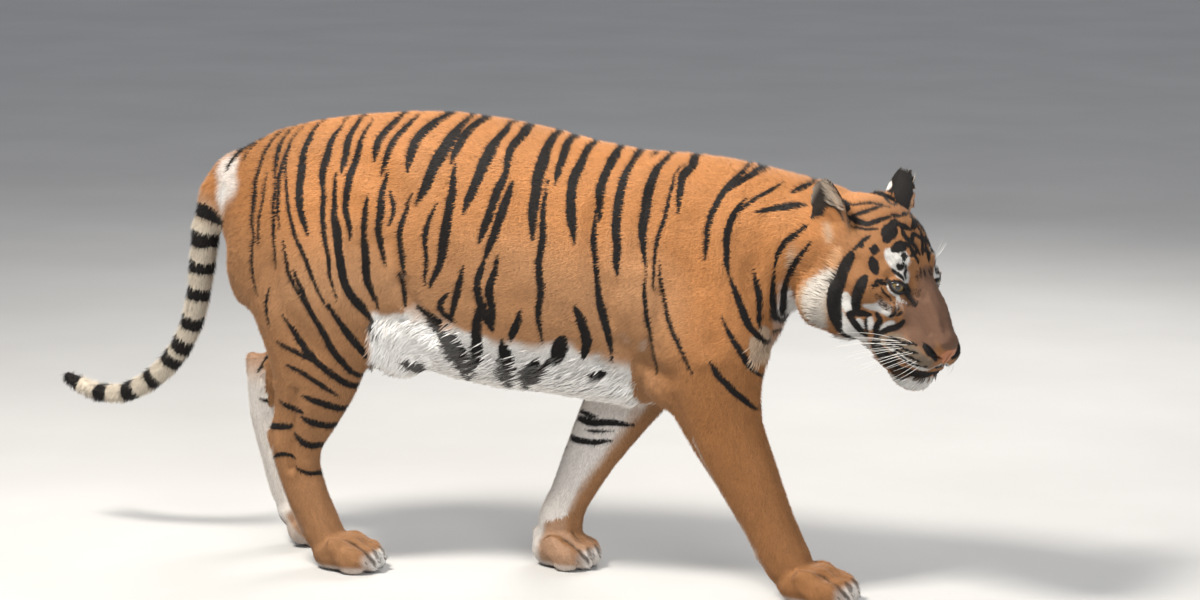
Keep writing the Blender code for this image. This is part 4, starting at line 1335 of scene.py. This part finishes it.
def ear_axes():
    """The left ear's directions out of its bowl, to its back edge and up, as columns in the head's frame."""
    outward, back, turned = (math.radians(angle) for angle in EAR_TILT)
    turn = Matrix.Rotation(-outward, 3, "X") @ Matrix.Rotation(back, 3, "Y") @ Matrix.Rotation(turned, 3, "Z")
    return np.array(turn)


EAR_AXES = ear_axes()


def ear_place(local, normals):
    """How much each point of an ear lies in its bowl, how high it is, and how far towards its back edge."""
    side = np.sign(local[:, 1])
    place = (mirrored(local) - EAR_BASE) @ EAR_AXES
    n = normals @ HEAD_AXES
    n[:, 1] *= side
    return step(-0.05, 0.25, n @ EAR_AXES[:, 0]), place[:, 2] / EAR_HEIGHT, place[:, 1] / EAR_HALF_WIDTH


# ---- Materials ----


class Look:
    """A material that is being put together, with short ways to add nodes to it."""

    def __init__(self, name):
        self.material = bpy.data.materials.new(name)
        self.material.use_nodes = True
        self.nodes = self.material.node_tree.nodes
        self.links = self.material.node_tree.links
        self.shader = self.nodes["Principled BSDF"]

    def feed(self, socket, value):
        """Sets an input, or links it to another node's output."""
        if hasattr(value, "is_output"):
            self.links.new(value, socket)
        else:
            socket.default_value = value

    def fill(self, node, **values):
        """Sets a node's own settings and its inputs by name."""
        for key, value in values.items():
            if hasattr(node, key):
                setattr(node, key, value)
            else:
                self.feed(node.inputs[key.replace("_", " ")], value)
        return node

    def add(self, kind, **values):
        return self.fill(self.nodes.new(kind), **values)

    def attribute(self, name):
        return self.add("ShaderNodeAttribute", attribute_name=name).outputs

    def noise(self, vector, **values):
        return self.add("ShaderNodeTexNoise", Vector=vector, **values).outputs["Fac"]

    def place(self):
        return self.nodes.new("ShaderNodeTexCoord").outputs["Object"]

    def between(self, value, **ends):
        return self.add("ShaderNodeMapRange", Value=value, **ends).outputs[0]

    def ramp(self, share, stops):
        """A colour that changes along the stops."""
        node = self.nodes.new("ShaderNodeValToRGB")
        items = node.color_ramp.elements
        while len(items) < len(stops):
            items.new(0.5)
        for item, (place, colour) in zip(items, stops):
            item.position = place
            item.color = (*colour, 1.0)
        self.links.new(share, node.inputs[0])
        return node.outputs["Color"]

    def blend(self, kind, share, a, b):
        node = self.add("ShaderNodeMix", data_type="RGBA", blend_type=kind)
        for socket, value in ((0, share), (6, a), (7, b)):
            self.feed(node.inputs[socket], value)
        return node.outputs[2]

    def math(self, kind, *values):
        node = self.add("ShaderNodeMath", operation=kind)
        for socket, value in zip(node.inputs, values):
            self.feed(socket, value)
        return node.outputs[0]

    def bump(self, height, strength, distance):
        return self.add("ShaderNodeBump", Strength=strength, Distance=distance, Height=height).outputs[0]


def skin_material():
    """Short fur over skin: the markings broken by the lie of the hair, and bare glossy leather."""
    look = Look("skin")
    tint, bare = look.attribute("tint")["Color"], look.attribute("leather")["Fac"]
    hair = look.attribute("hair")["Vector"]
    strands = look.noise(hair, Scale=420.0, Detail=3.0, Roughness=0.6)
    clumps = look.noise(hair, Scale=130.0, Detail=2.0)
    ragged = look.math("MULTIPLY_ADD", strands, 0.0030, -0.0015)
    edge = look.math("ADD", look.attribute("mark")["Fac"], ragged)
    dark = look.between(edge, From_Min=-0.0010, From_Max=0.0014)
    shade = look.ramp(strands, ((0.25, (0.52, 0.50, 0.48)), (0.75, (1.25, 1.22, 1.18))))
    hairy = look.blend("MULTIPLY", 0.85, tint, shade)
    furry = look.blend("MIX", dark, hairy, (*BLACK, 1.0))
    plain = look.blend("MIX", dark, tint, (0.012, 0.010, 0.010, 1.0))
    pebbles = look.add("ShaderNodeTexVoronoi", Scale=700.0).outputs["Distance"]
    grain = look.math("MULTIPLY", pebbles, bare)
    height = look.math("ADD", look.math("ADD", strands, clumps), grain)
    look.fill(
        look.shader,
        Base_Color=look.blend("MIX", bare, furry, plain),
        Roughness=look.between(bare, To_Min=0.78, To_Max=0.36),
        Sheen_Weight=0.06,
        Sheen_Roughness=0.5,
        Specular_IOR_Level=0.25,
        Normal=look.bump(height, 0.55, 0.0018),
    )
    return look.material


def coat_material():
    """Dry hair, whose tone and gloss drift a little."""
    look = Look("coat")
    grain = look.noise(look.place(), Scale=900.0, Detail=2.0)
    shade = look.ramp(grain, ((0.2, (0.82, 0.81, 0.80)), (0.8, (1.12, 1.11, 1.10))))
    look.fill(
        look.shader,
        Base_Color=look.blend("MULTIPLY", 1.0, look.attribute("tint")["Color"], shade),
        Roughness=look.between(grain, To_Min=0.50, To_Max=0.68),
        Sheen_Weight=0.04,
        Sheen_Roughness=0.45,
        Specular_IOR_Level=0.16,
    )
    return look.material


# An eye's colours, from the line of sight outwards.
IRIS_STOPS = (
    (0.000, (0.004, 0.004, 0.004)),
    (0.215, (0.004, 0.004, 0.004)),
    (0.250, (0.08, 0.050, 0.016)),
    (0.400, (0.14, 0.100, 0.034)),
    (0.600, (0.11, 0.086, 0.032)),
    (0.690, (0.06, 0.050, 0.022)),
    (0.730, (0.012, 0.009, 0.007)),
    (0.860, (0.030, 0.018, 0.014)),
    (1.000, (0.10, 0.05, 0.04)),
)


def eye_material():
    """Iris, pupil and white by distance from the line of sight, under a glossy coat."""
    look = Look("eye")
    fibres = look.noise(look.attribute("spoke")["Vector"], Scale=9.0, Detail=4.0, Roughness=0.7)
    iris = look.ramp(look.attribute("ring")["Fac"], IRIS_STOPS)
    flecks = look.ramp(fibres, ((0.30, (0.55, 0.50, 0.42)), (0.72, (1.40, 1.35, 1.20))))
    look.fill(
        look.shader,
        Base_Color=look.blend("MULTIPLY", 0.9, iris, flecks),
        Roughness=0.10,
        Coat_Weight=1.0,
        Coat_Roughness=0.02,
        Normal=look.bump(fibres, 0.10, 0.0006),
    )
    return look.material


def simple_material(name, dark, light, scale, roughness, coat=0.0):
    """A hard or moist surface whose colour drifts between two tones."""
    look = Look(name)
    drift = look.noise(look.place(), Scale=scale, Detail=4.0)
    look.fill(
        look.shader,
        Base_Color=look.ramp(drift, ((0.3, dark), (0.7, light))),
        Normal=look.bump(drift, 0.2, 0.0004),
        Roughness=roughness,
        Coat_Weight=coat,
    )
    return look.material


# ---- Build the skin ----

surface, region, flow, coat_depth, coat_length, coat_width, underside, toe_cleft = make_skin()
snap = Snap(surface)
FACE_STROKES = [(snap.head(path), FACE_BREADTH * width * MM / 2.0) for path, width in FACE_STRIPES]
FACE_AREAS = [(snap.head(path), half * MM, soft * MM, shade) for path, half, soft, shade in FACE_PATCHES]
WHISKER_STROKES = [(snap.head(row), 0.0033) for row in WHISKER_ROWS]
MOUTH_STROKE = [(snap.head(MOUTH_LINE), 0.012)]
EYE_CORNERS = [(snap.head(path), half * MM) for path, half in EYE_CORNER_MARKS]
LIP_STROKES = [(snap.head(path), half * MM) for path, half in LIP_MARKS]
skin_normals = surface.normals()
flow = tangential(flow, skin_normals)
colour, mark, leather = paint(surface.points, skin_normals, region, toe_cleft)
set_tint(surface.mesh, colour)
set_number(surface.mesh, mark, "mark")
set_number(surface.mesh, leather, "leather")
# Places measured along the hairs, across them and out of the skin, stretched so that noise makes strands.
strand_axes = ((flow, 0.16), (np.cross(skin_normals, flow), 1.0), (skin_normals, 0.5))
hair = np.column_stack([np.sum(surface.points * way, axis=1) * scale for way, scale in strand_axes])
set_vector(surface.mesh, hair, "hair")

surface.mesh.shade_smooth()
surface.mesh.materials.clear()
skin = link("skin", surface.mesh, skin_material())
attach(skin, "root")
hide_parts(*FLESH)

while skin.data.uv_layers:
    skin.data.uv_layers.remove(skin.data.uv_layers[0])
skin.data.uv_layers.new(name="OFBake")
bpy.context.view_layer.objects.active = skin
skin.select_set(True)
bpy.ops.object.mode_set(mode="EDIT")
bpy.ops.mesh.select_all(action="SELECT")
bpy.ops.uv.smart_project(angle_limit=1.15, island_margin=0.004, scale_to_bounds=True)
bpy.ops.object.mode_set(mode="OBJECT")
skin.select_set(False)

# ---- The coat ----

mesh = skin.data
TRIANGLES = faces_of(mesh)
TRIANGLE_LOOPS = numbers(mesh.loop_triangles, "loops", 3, np.int32)
UVS = numbers(mesh.uv_layers["OFBake"].data, "uv", 2).astype(float)
CORNERS = surface.points[TRIANGLES]
AREAS = 0.5 * np.linalg.norm(np.cross(CORNERS[:, 1] - CORNERS[:, 0], CORNERS[:, 2] - CORNERS[:, 0]), axis=1)

UV_PATCH = 0.0015  # half the size of a tuft's patch on the map
ROOT_SINK = 0.0012  # how deep a tuft's root is in the skin
THICK = 0.42  # a tuft's thickness as a share of its width
ROOT, WAIST, TIP = 0, 1, 2
# The corners of a tuft: where along it, how far sideways and outwards as shares of its width, its painted
# shade (darker at the root, lighter at the tip, for the shade within the coat), how far its normal leans
# sideways, and its place on the patch. Then the faces between them.
SHORT_CORNERS = (
    (ROOT, -0.50, 0.0, 0.70, -0.6, -1.0, -1.0),
    (ROOT, 0.50, 0.0, 0.70, 0.6, 1.0, -1.0),
    (ROOT, 0.0, THICK, 0.80, 0.0, 0.0, -0.3),
    (TIP, 0.0, 0.0, 1.12, 0.0, 0.0, 1.0),
)
SHORT_FACES = ((0, 2, 1), (0, 1, 3), (1, 2, 3), (2, 0, 3))
LONG_CORNERS = (
    (ROOT, -0.40, 0.0, 0.62, -0.6, -1.0, -1.0),
    (ROOT, 0.40, 0.0, 0.62, 0.6, 1.0, -1.0),
    (ROOT, 0.0, THICK, 0.66, 0.0, 0.1, -0.8),
    (WAIST, -0.50, 0.0, 0.95, -0.6, -0.8, 0.1),
    (WAIST, 0.50, 0.0, 0.95, 0.6, 0.8, 0.1),
    (WAIST, 0.0, THICK, 1.0, 0.0, 0.1, 0.3),
    (TIP, 0.0, 0.0, 1.15, 0.0, 0.0, 1.0),
)
LONG_FACES = (
    (0, 2, 1),
    (0, 1, 4),
    (0, 4, 3),
    (1, 2, 5),
    (1, 5, 4),
    (2, 0, 3),
    (2, 3, 5),
    (3, 4, 6),
    (4, 5, 6),
    (5, 3, 6),
)


def scatter(per_area):
    """Random places on the skin, so many per square metre at each of its points."""
    wanted = AREAS * per_area[TRIANGLES].mean(axis=1)
    count = np.floor(wanted + rng.random(len(wanted))).astype(int)
    which = np.repeat(np.arange(len(TRIANGLES)), count)
    r1, r2 = np.sqrt(rng.random(len(which))), rng.random(len(which))
    share = np.column_stack([1.0 - r1, r1 * (1.0 - r2), r1 * r2])
    return which, share


def carried(values, which, share):
    """Values of the skin's points carried over to the scattered places."""
    picked = values[TRIANGLES[which]]
    return np.einsum("ij,ij...->i...", share, picked)


class Roots:
    """Where tufts grow, with everything the skin knows there."""

    def __init__(self, per_area):
        w, s = scatter(per_area)
        self.points = carried(surface.points, w, s)
        self.normals = unit(carried(skin_normals, w, s))
        self.lie = tangential(carried(flow, w, s), self.normals)
        self.region = region[TRIANGLES[w, np.argmax(s, axis=1)]]
        self.depth = carried(coat_depth, w, s)
        self.length = carried(coat_length, w, s)
        self.width = carried(coat_width, w, s)
        self.uv = np.einsum("ij,ijk->ik", s, UVS[TRIANGLE_LOOPS[w]])
        middle = self.points + self.lie * (self.length * 0.4)[:, None]
        self.colour, self.mark, _ = paint(middle, self.normals, self.region, carried(toe_cleft, w, s))


class Part:
    """Some of the roots."""

    def __init__(self, roots, chosen):
        for key in ("points", "normals", "lie", "region", "depth", "length", "width", "uv"):
            setattr(self, key, getattr(roots, key)[chosen])


def hair_colours(roots, dark_share=1.0):
    """Each tuft's own colour: dark where it lies in a mark, and otherwise the plain coat, a little varied."""
    count = len(roots.points)
    ragged = rng.normal(0.0, 0.0005, count)
    dark = step(-0.0012, 0.0002, roots.mark + ragged) * dark_share
    tone = roots.colour * (1.0 + rng.normal(0.0, 0.11, count))[:, None]
    tone = tone * (1.0 + 0.06 * noise(roots.points, 0.012, 9))[:, None]
    black = np.array(BLACK) * (0.8 + rng.random(count) * 0.8)[:, None]
    return mix(tone, black, dark)


coat = coat_material()


def grow(name, roots, colours, corners, pattern, droop=0.0):
    """Builds one piece of coat: a closed, pointed tuft at each root."""
    count = len(roots.points)
    n, t = roots.normals, roots.lie
    t = unit(t + np.cross(n, t) * rng.normal(0.0, 0.16, count)[:, None])
    s = np.cross(n, t)
    length = (roots.length * (1.0 + rng.normal(0.0, 0.14, count)).clip(0.6, 1.4))[:, None]
    width = (roots.width * (0.75 + 0.5 * rng.random(count)))[:, None]
    rise = np.clip(roots.depth / roots.length * (0.70 + 0.5 * rng.random(count)), 0.05, 0.92)[:, None]
    forward = np.sqrt(1.0 - rise * rise)
    down = np.array([0.0, 0.0, -1.0]) * droop
    stations = (
        roots.points - n * ROOT_SINK,
        roots.points + t * (length * forward * 0.45) + n * (length * rise * 0.68) + down * (length * 0.25),
        roots.points + t * (length * forward) + n * (length * rise) + down * length,
    )
    parts = [stations[k] + s * (width * side) + n * (width * out) for k, side, out, *_ in corners]
    points = np.stack(parts, axis=1)
    points[:, :, 2] = np.maximum(points[:, :, 2], 0.0006)
    faces = (np.array(pattern)[None] + (np.arange(count) * len(corners))[:, None, None]).reshape(-1, 3)
    mesh = mesh_from(name, points.reshape(-1, 3), faces)
    table = np.array(corners)
    # Each corner takes the tuft's colour times its painted shade from the table.
    tint = colours[:, None, :] * table[None, :, 3, None]
    set_tint(mesh, np.clip(tint, 0.0, 1.0).reshape(-1, 3))
    uv = roots.uv[:, None, :] + table[None, :, 5:] * UV_PATCH
    layer = mesh.uv_layers.new(name="OFBake")
    layer.data.foreach_set("uv", uv.reshape(-1, 2)[faces.ravel()].astype(np.float32).ravel())
    soft = unit(n[:, None, :] + s[:, None, :] * table[None, :, 4, None])
    mesh.normals_split_custom_set_from_vertices(soft.reshape(-1, 3).tolist())
    piece = link(name, mesh, coat)
    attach(piece, "root")


COVER = 2.0  # how many times over the tufts would cover the skin, were there no limit to their number
SHORT_TUFTS = 330000  # about this many at most, in all
LIMIT = 190000  # triangles in one piece of short coat

bare = np.clip(leather * 1.6, 0.0, 1.0)
near_eye = gap_to_eyes(surface.points)
sole = step(0.012, 0.004, surface.points[:, 2]) * step(-0.5, -0.8, skin_normals[:, 2])
growing = (1.0 - bare) * step(0.002, 0.005, near_eye) * (1.0 - sole)
local = to_head(surface.points)
in_bowl, ear_high, ear_across = ear_place(local, skin_normals)
ear_vertex = IS_EAR[region]
growing = np.where(ear_vertex, growing * (1.0 - 0.5 * in_bowl), growing)
# Tufts get shorter towards the nose, the eyes and the toes.
coat_length = coat_length * (0.35 + 0.65 * step(0.001, 0.016, near_eye))

density = COVER / (0.5 * coat_length * coat_width) * growing
expected = float(np.sum(AREAS * density[TRIANGLES].mean(axis=1)))
density = density * min(1.0, SHORT_TUFTS / expected)
roots = Roots(density)
colours = hair_colours(roots)

GROUPS = (
    ("coat_head", IS_HEAD | IS_EAR),
    ("coat_neck", IS_NECK),
    ("coat_chest", belongs("chest")),
    ("coat_abdomen", belongs("abdomen")),
    ("coat_rump", belongs("rump")),
    ("coat_forelegs", IS_FORE),
    ("coat_thighs", belongs("thigh")),
    ("coat_hindlegs", IS_SHANK),
    ("coat_tail", IS_TAIL),
)

for name, members in GROUPS:
    chosen = np.flatnonzero(members[roots.region])
    shares = max(1, math.ceil(len(chosen) * len(SHORT_FACES) / LIMIT))
    chosen = chosen[np.argsort(roots.points[chosen, 0], kind="stable")]
    for k, some in enumerate(np.array_split(chosen, shares)):
        label = name if shares == 1 else f"{name}_{k + 1}"
        grow(label, Part(roots, some), colours[some], SHORT_CORNERS, SHORT_FACES)


def long_coat(name, per_area, length, width, lift, droop, lie=None, tone=None):
    """Longer bent locks over part of the skin, so many to the square metre at each of its points.

    Lift is how far they stand out and droop how far they hang, as shares of their length.
    """
    made = Roots(per_area)
    made.length = np.full(len(made.points), length)
    made.width = np.full(len(made.points), width)
    made.depth = made.length * lift
    if lie is not None:
        made.lie = tangential(lie(made), made.normals)
    shades = hair_colours(made, 0.9)
    if tone is not None:
        shades = tone(shades)
    grow(name, made, shades, LONG_CORNERS, LONG_FACES, droop)


folded = mirrored(local)
headish = IS_HEAD[region] | (IS_NECK[region] & (local[:, 0] > -0.02))
ruff = headish * step(0.062, 0.045, folded[:, 0]) * step(-0.03, 0.02, folded[:, 0])
ruff = ruff * step(0.085, 0.11, folded[:, 1]) * step(0.02, -0.04, folded[:, 2])
throat = IS_HEAD[region] * step(0.15, 0.10, folded[:, 0]) * step(-0.115, -0.138, folded[:, 2])
ruff_area = np.maximum(ruff, throat * 0.7)
long_coat("ruff", ruff_area * 1.5e5, length=0.022, width=0.0022, lift=0.24, droop=0.05)

belly = underside * step(0.56, 0.50, surface.points[:, 2]) * belongs("abdomen", "chest")[region]
flap = step(-0.212, -0.200, surface.points[:, 0]) * step(0.0, -0.03, surface.points[:, 0])
flap = flap * step(0.54, 0.50, surface.points[:, 2]) * belongs("abdomen", "thigh", "rump")[region]
belly_area = np.maximum(belly * 0.5, flap)
long_coat("belly_hair", belly_area * 8e4, length=0.028, width=0.0032, lift=0.30, droop=0.08)

chin = IS_HEAD[region] * step(-0.118, -0.13, folded[:, 2]) * step(0.17, 0.20, folded[:, 0])
long_coat("chin_hair", chin * 2.2e5, length=0.015, width=0.0026, lift=0.35, droop=0.12)


def ear_lie(made):
    """Out of the bowl, up and backwards, as the hair of an ear's front edge does."""
    place = to_head(made.points)
    way = np.tile(EAR_AXES @ unit(np.array([0.35, 0.75, 0.55])), (len(place), 1))
    way[:, 1] *= np.sign(place[:, 1])
    return way @ HEAD_AXES.T


def ear_tone(shades):
    return mix(shades, EAR_HAIR, rng.random(len(shades)) * 0.5 + 0.45)


front_rim = ear_vertex * in_bowl * step(0.0, -0.3, ear_across)
front_rim = front_rim * step(0.92, 0.75, ear_high) * step(0.30, 0.45, ear_high)
rim_area = front_rim * 1.3e5
long_coat("ear_hair", rim_area, length=0.024, width=0.0015, lift=0.35, droop=0.0, lie=ear_lie, tone=ear_tone)

# ---- Eyes ----

EYE_RINGS = 48
EYE_SPOKES = 64
IRIS_ANGLE = 42.0  # from the line of sight to the iris's edge, in degrees
IRIS_SHARE = 0.70  # where that edge lies among IRIS_STOPS


def make_eye(side, material):
    """An eyeball whose clear front bulges, with its iris facing a little forward of the opening."""
    centre, inner, up, out = EYES[side]
    gaze = unit(out - inner * 0.06 - up * 0.02)
    right = unit(inner - gaze * (inner @ gaze))
    top = np.cross(gaze, right)
    points, ring, spoke = [], [], []
    for k in range(EYE_RINGS + 1):
        angle = math.pi * k / EYE_RINGS
        bulge = 0.0014 * math.exp(-((angle / 0.62) ** 2))
        radius = EYE_RADIUS + bulge - 0.0002
        for j in range(EYE_SPOKES):
            turn = 2.0 * math.pi * j / EYE_SPOKES
            way = gaze * math.cos(angle) + (right * math.cos(turn) + top * math.sin(turn)) * math.sin(angle)
            points.append(centre + way * radius)
            ring.append(min(1.0, math.degrees(angle) / (IRIS_ANGLE / IRIS_SHARE)))
            spoke.append((math.cos(turn) * 1.5, math.sin(turn) * 1.5, angle * 0.35))
    faces = []
    for k in range(EYE_RINGS):
        for j in range(EYE_SPOKES):
            a, b = k * EYE_SPOKES + j, k * EYE_SPOKES + (j + 1) % EYE_SPOKES
            faces.append((a, a + EYE_SPOKES, b + EYE_SPOKES, b))
    name = "eyeball_left" if side > 0 else "eyeball_right"
    mesh = mesh_from(name, points, faces)
    set_number(mesh, ring, "ring")
    set_vector(mesh, spoke, "spoke")
    face_outwards(mesh, weld=1e-6)
    piece = link(name, mesh, material)
    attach(piece, "root")
    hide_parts("eye_left" if side > 0 else "eye_right")


RIM_STEPS = 72
RIM_SIDES = 8


def make_lid_rim(side, material):
    """The dark moist edge of the lids, as a ring that lies on the eyeball."""
    centre, inner, up, out = EYES[side]
    path = []
    for k in range(RIM_STEPS):
        turn = 2.0 * math.pi * k / RIM_STEPS
        a = math.cos(turn) * EYE_HALF_WIDTH * 0.995
        arch = max(0.0, 1.0 - (a / EYE_HALF_WIDTH) ** 2)
        b = UPPER_LID * arch**0.75 if math.sin(turn) > 0 else -LOWER_LID * arch**0.9
        a += EYE_SHIFT
        depth = math.sqrt(max(EYE_RADIUS**2 - a * a - b * b, 1e-6))
        path.append(centre + inner * a + up * b + out * depth)
    path = np.array(path)
    points = []
    for k in range(RIM_STEPS):
        along = unit(path[(k + 1) % RIM_STEPS] - path[k - 1])
        away = unit(path[k] - centre)
        wide = np.cross(along, away)
        for j in range(RIM_SIDES):
            turn = 2.0 * math.pi * j / RIM_SIDES
            lifted = path[k] + away * (0.0004 + 0.0014 * math.sin(turn))
            points.append(lifted + wide * 0.0017 * math.cos(turn))
    faces = []
    for k in range(RIM_STEPS):
        for j in range(RIM_SIDES):
            a, b = k * RIM_SIDES + j, k * RIM_SIDES + (j + 1) % RIM_SIDES
            c, d = (a + RIM_SIDES) % len(points), (b + RIM_SIDES) % len(points)
            faces.append((a, b, d, c))
    name = "lid_rim_left" if side > 0 else "lid_rim_right"
    mesh = mesh_from(name, points, faces)
    face_outwards(mesh)
    piece = link(name, mesh, material)
    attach(piece, "root")


iris = eye_material()
rim = simple_material("lid_rim", (0.006, 0.005, 0.005), (0.020, 0.014, 0.012), 500.0, 0.28, 0.5)
for side in EYES:
    make_eye(side, iris)
    make_lid_rim(side, rim)

# ---- Whiskers and claws ----


def tube(points, radii, sides=5):
    """Points and faces of a closed tapering tube along a path."""
    points = np.asarray(points, float)
    made, faces = [], []
    reference = unit(np.array([0.3, 0.2, 1.0]))
    for k, p in enumerate(points):
        along = unit(points[min(k + 1, len(points) - 1)] - points[max(k - 1, 0)])
        wide = unit(np.cross(along, reference))
        high = np.cross(along, wide)
        for j in range(sides):
            turn = 2.0 * math.pi * j / sides
            made.append(p + (wide * math.cos(turn) + high * math.sin(turn)) * radii[k])
    for k in range(len(points) - 1):
        for j in range(sides):
            a, b = k * sides + j, k * sides + (j + 1) % sides
            faces.append((a, a + sides, b + sides))
            faces.append((a, b + sides, b))
    for start, flip in ((0, False), ((len(points) - 1) * sides, True)):
        for j in range(1, sides - 1):
            tri = (start, start + j, start + j + 1)
            faces.append(tri[::-1] if flip else tri)
    return np.array(made), np.array(faces)


def joined(parts):
    points, faces, first = [], [], 0
    for p, f in parts:
        points.append(p)
        faces.append(f + first)
        first += len(p)
    return np.vstack(points), np.vstack(faces)


def on_skin(local_point):
    """The nearest place on the skin to a place given in the head's frame, and the way out there."""
    return snap.nearest(from_head(local_point))


WHISKERS_IN_ROW = 6
WHISKER_POINTS = 10
BROW_HAIRS = 5
BROW_POINTS = 8


def make_whiskers():
    """Rows of long hairs on the whisker pads, and a few above each eye."""
    parts = []
    for side in (-1, 1):
        for row_index, row in enumerate(WHISKER_ROWS):
            path = rounded(np.array(row) * MM)
            for k in range(WHISKERS_IN_ROW):
                local_root = path[int(round((0.06 + 0.16 * k) * (len(path) - 1)))].copy()
                local_root[1] *= side
                local_root[1:] += rng.normal(0.0, 0.0012, 2)
                root, out = on_skin(local_root)
                back = HEAD_AXES @ unit(np.array([-0.80, side * 0.33, -0.22 - 0.10 * row_index]))
                size = (0.125 - 0.012 * k) * (0.8 + 0.3 * rng.random())
                start = unit(out * 0.75 + back * 0.5)
                shares = np.arange(WHISKER_POINTS) / (WHISKER_POINTS - 1)
                points = []
                for t in shares:
                    way = start * (t - 0.5 * t * t) + back * (0.5 * t * t) + np.array([0, 0, -0.16]) * t * t
                    points.append(root - out * 0.002 + way * size)
                parts.append(tube(points, 0.00055 * (1.0 - 0.82 * shares)))
        back = HEAD_AXES @ unit(np.array([-0.5, side * 0.45, 0.65]))
        for k in range(BROW_HAIRS):
            local_root = np.array([0.150 - 0.004 * k, side * (0.050 + 0.005 * k), 0.064])
            root, out = on_skin(local_root)
            shares = np.arange(BROW_POINTS) / (BROW_POINTS - 1)
            points = [root + unit(out + back * 1.2) * 0.030 * t + back * 0.010 * t**2 for t in shares]
            parts.append(tube(points, 0.0004 * (1.0 - 0.8 * shares)))
    points, faces = joined(parts)
    material = simple_material("whisker", (0.62, 0.60, 0.56), (0.80, 0.78, 0.74), 60.0, 0.4)
    piece = link("whiskers", mesh_from("whiskers", points, faces), material)
    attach(piece, "root")


make_whiskers()

CLAW_LENGTH = 0.009
CLAW_RADIUS = 0.0026


def make_claws():
    """The claws' tips, which show between the fur of the toes as the claws are drawn in."""
    parts = []
    for name in PAWS:
        origin, axes = paw_frame(name)
        for across in TOES:
            root, out = snap.nearest(origin + axes @ (paw_size(name) * np.array([0.96, across, 0.36])))
            ahead = unit(axes[:, 0] + 0.3 * out - 0.4 * axes[:, 2])
            steps = np.linspace(0.0, 1.0, 6)
            path = [root + ahead * CLAW_LENGTH * (t - 0.45) - axes[:, 2] * 0.003 * t * t for t in steps]
            parts.append(tube(path, CLAW_RADIUS * np.sqrt(1.02 - steps), sides=6))
    points, faces = joined(parts)
    material = simple_material("claw", (0.10, 0.080, 0.062), (0.22, 0.180, 0.140), 120.0, 0.35)
    piece = link("claws", mesh_from("claws", points, faces), material)
    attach(piece, "root")


make_claws()

# ---- Floor, lights and camera ----

FLOOR = 90.0  # from the middle of the floor to its edges
corners = [(-FLOOR, -FLOOR, 0), (FLOOR, -FLOOR, 0), (FLOOR, FLOOR, 0), (-FLOOR, FLOOR, 0)]
floor_mesh = bpy.data.meshes.new("floor")
floor_mesh.from_pydata(corners, [], [(0, 1, 2, 3)])
stone = simple_material("floor", (0.46, 0.455, 0.445), (0.50, 0.495, 0.485), 1.5, 0.85)
floor = link("floor", floor_mesh, stone)

world = bpy.context.scene.world or bpy.data.worlds.new("World")
bpy.context.scene.world = world
world.use_nodes = True
sky = world.node_tree.nodes["Background"].inputs
sky["Color"].default_value = (0.90, 0.93, 1.0, 1.0)
sky["Strength"].default_value = 0.42

AIM = Vector((0.2325, MIDDLE, 0.56))  # what the camera and the lights point at


def area_light(name, place, power, size, colour):
    data = bpy.data.lights.new(name, "AREA")
    data.energy = power
    data.size = size
    data.color = colour
    lamp = link(name, data)
    lamp.location = place
    lamp.visible_camera = False
    lamp.rotation_euler = (AIM - Vector(place)).to_track_quat("-Z", "Y").to_euler()


area_light("key", (-1.2, -1.9, 4.0), 320.0, 0.9, (1.0, 0.95, 0.87))
area_light("fill", (4.0, -5.5, 3.2), 260.0, 3.0, (0.96, 0.98, 1.0))
area_light("back", (0.5, 3.4, 3.0), 110.0, 2.0, (1.0, 0.97, 0.92))
bpy.context.scene.view_settings.view_transform = "Standard"

CAMERA_AZIMUTH = math.radians(17.0)
CAMERA_HEIGHT = math.radians(9.0)
CAMERA_DISTANCE = 7.5
data = bpy.data.cameras.new("camera")
data.sensor_width = 36.0
data.lens = 112.5
camera = link("camera", data)
level = Vector((math.sin(CAMERA_AZIMUTH), -math.cos(CAMERA_AZIMUTH), 0.0))
way_back = level * math.cos(CAMERA_HEIGHT) + Vector((0.0, 0.0, math.sin(CAMERA_HEIGHT)))
camera.location = AIM + way_back * CAMERA_DISTANCE
camera.rotation_euler = way_back.to_track_quat("Z", "Y").to_euler()
bpy.context.scene.camera = camera
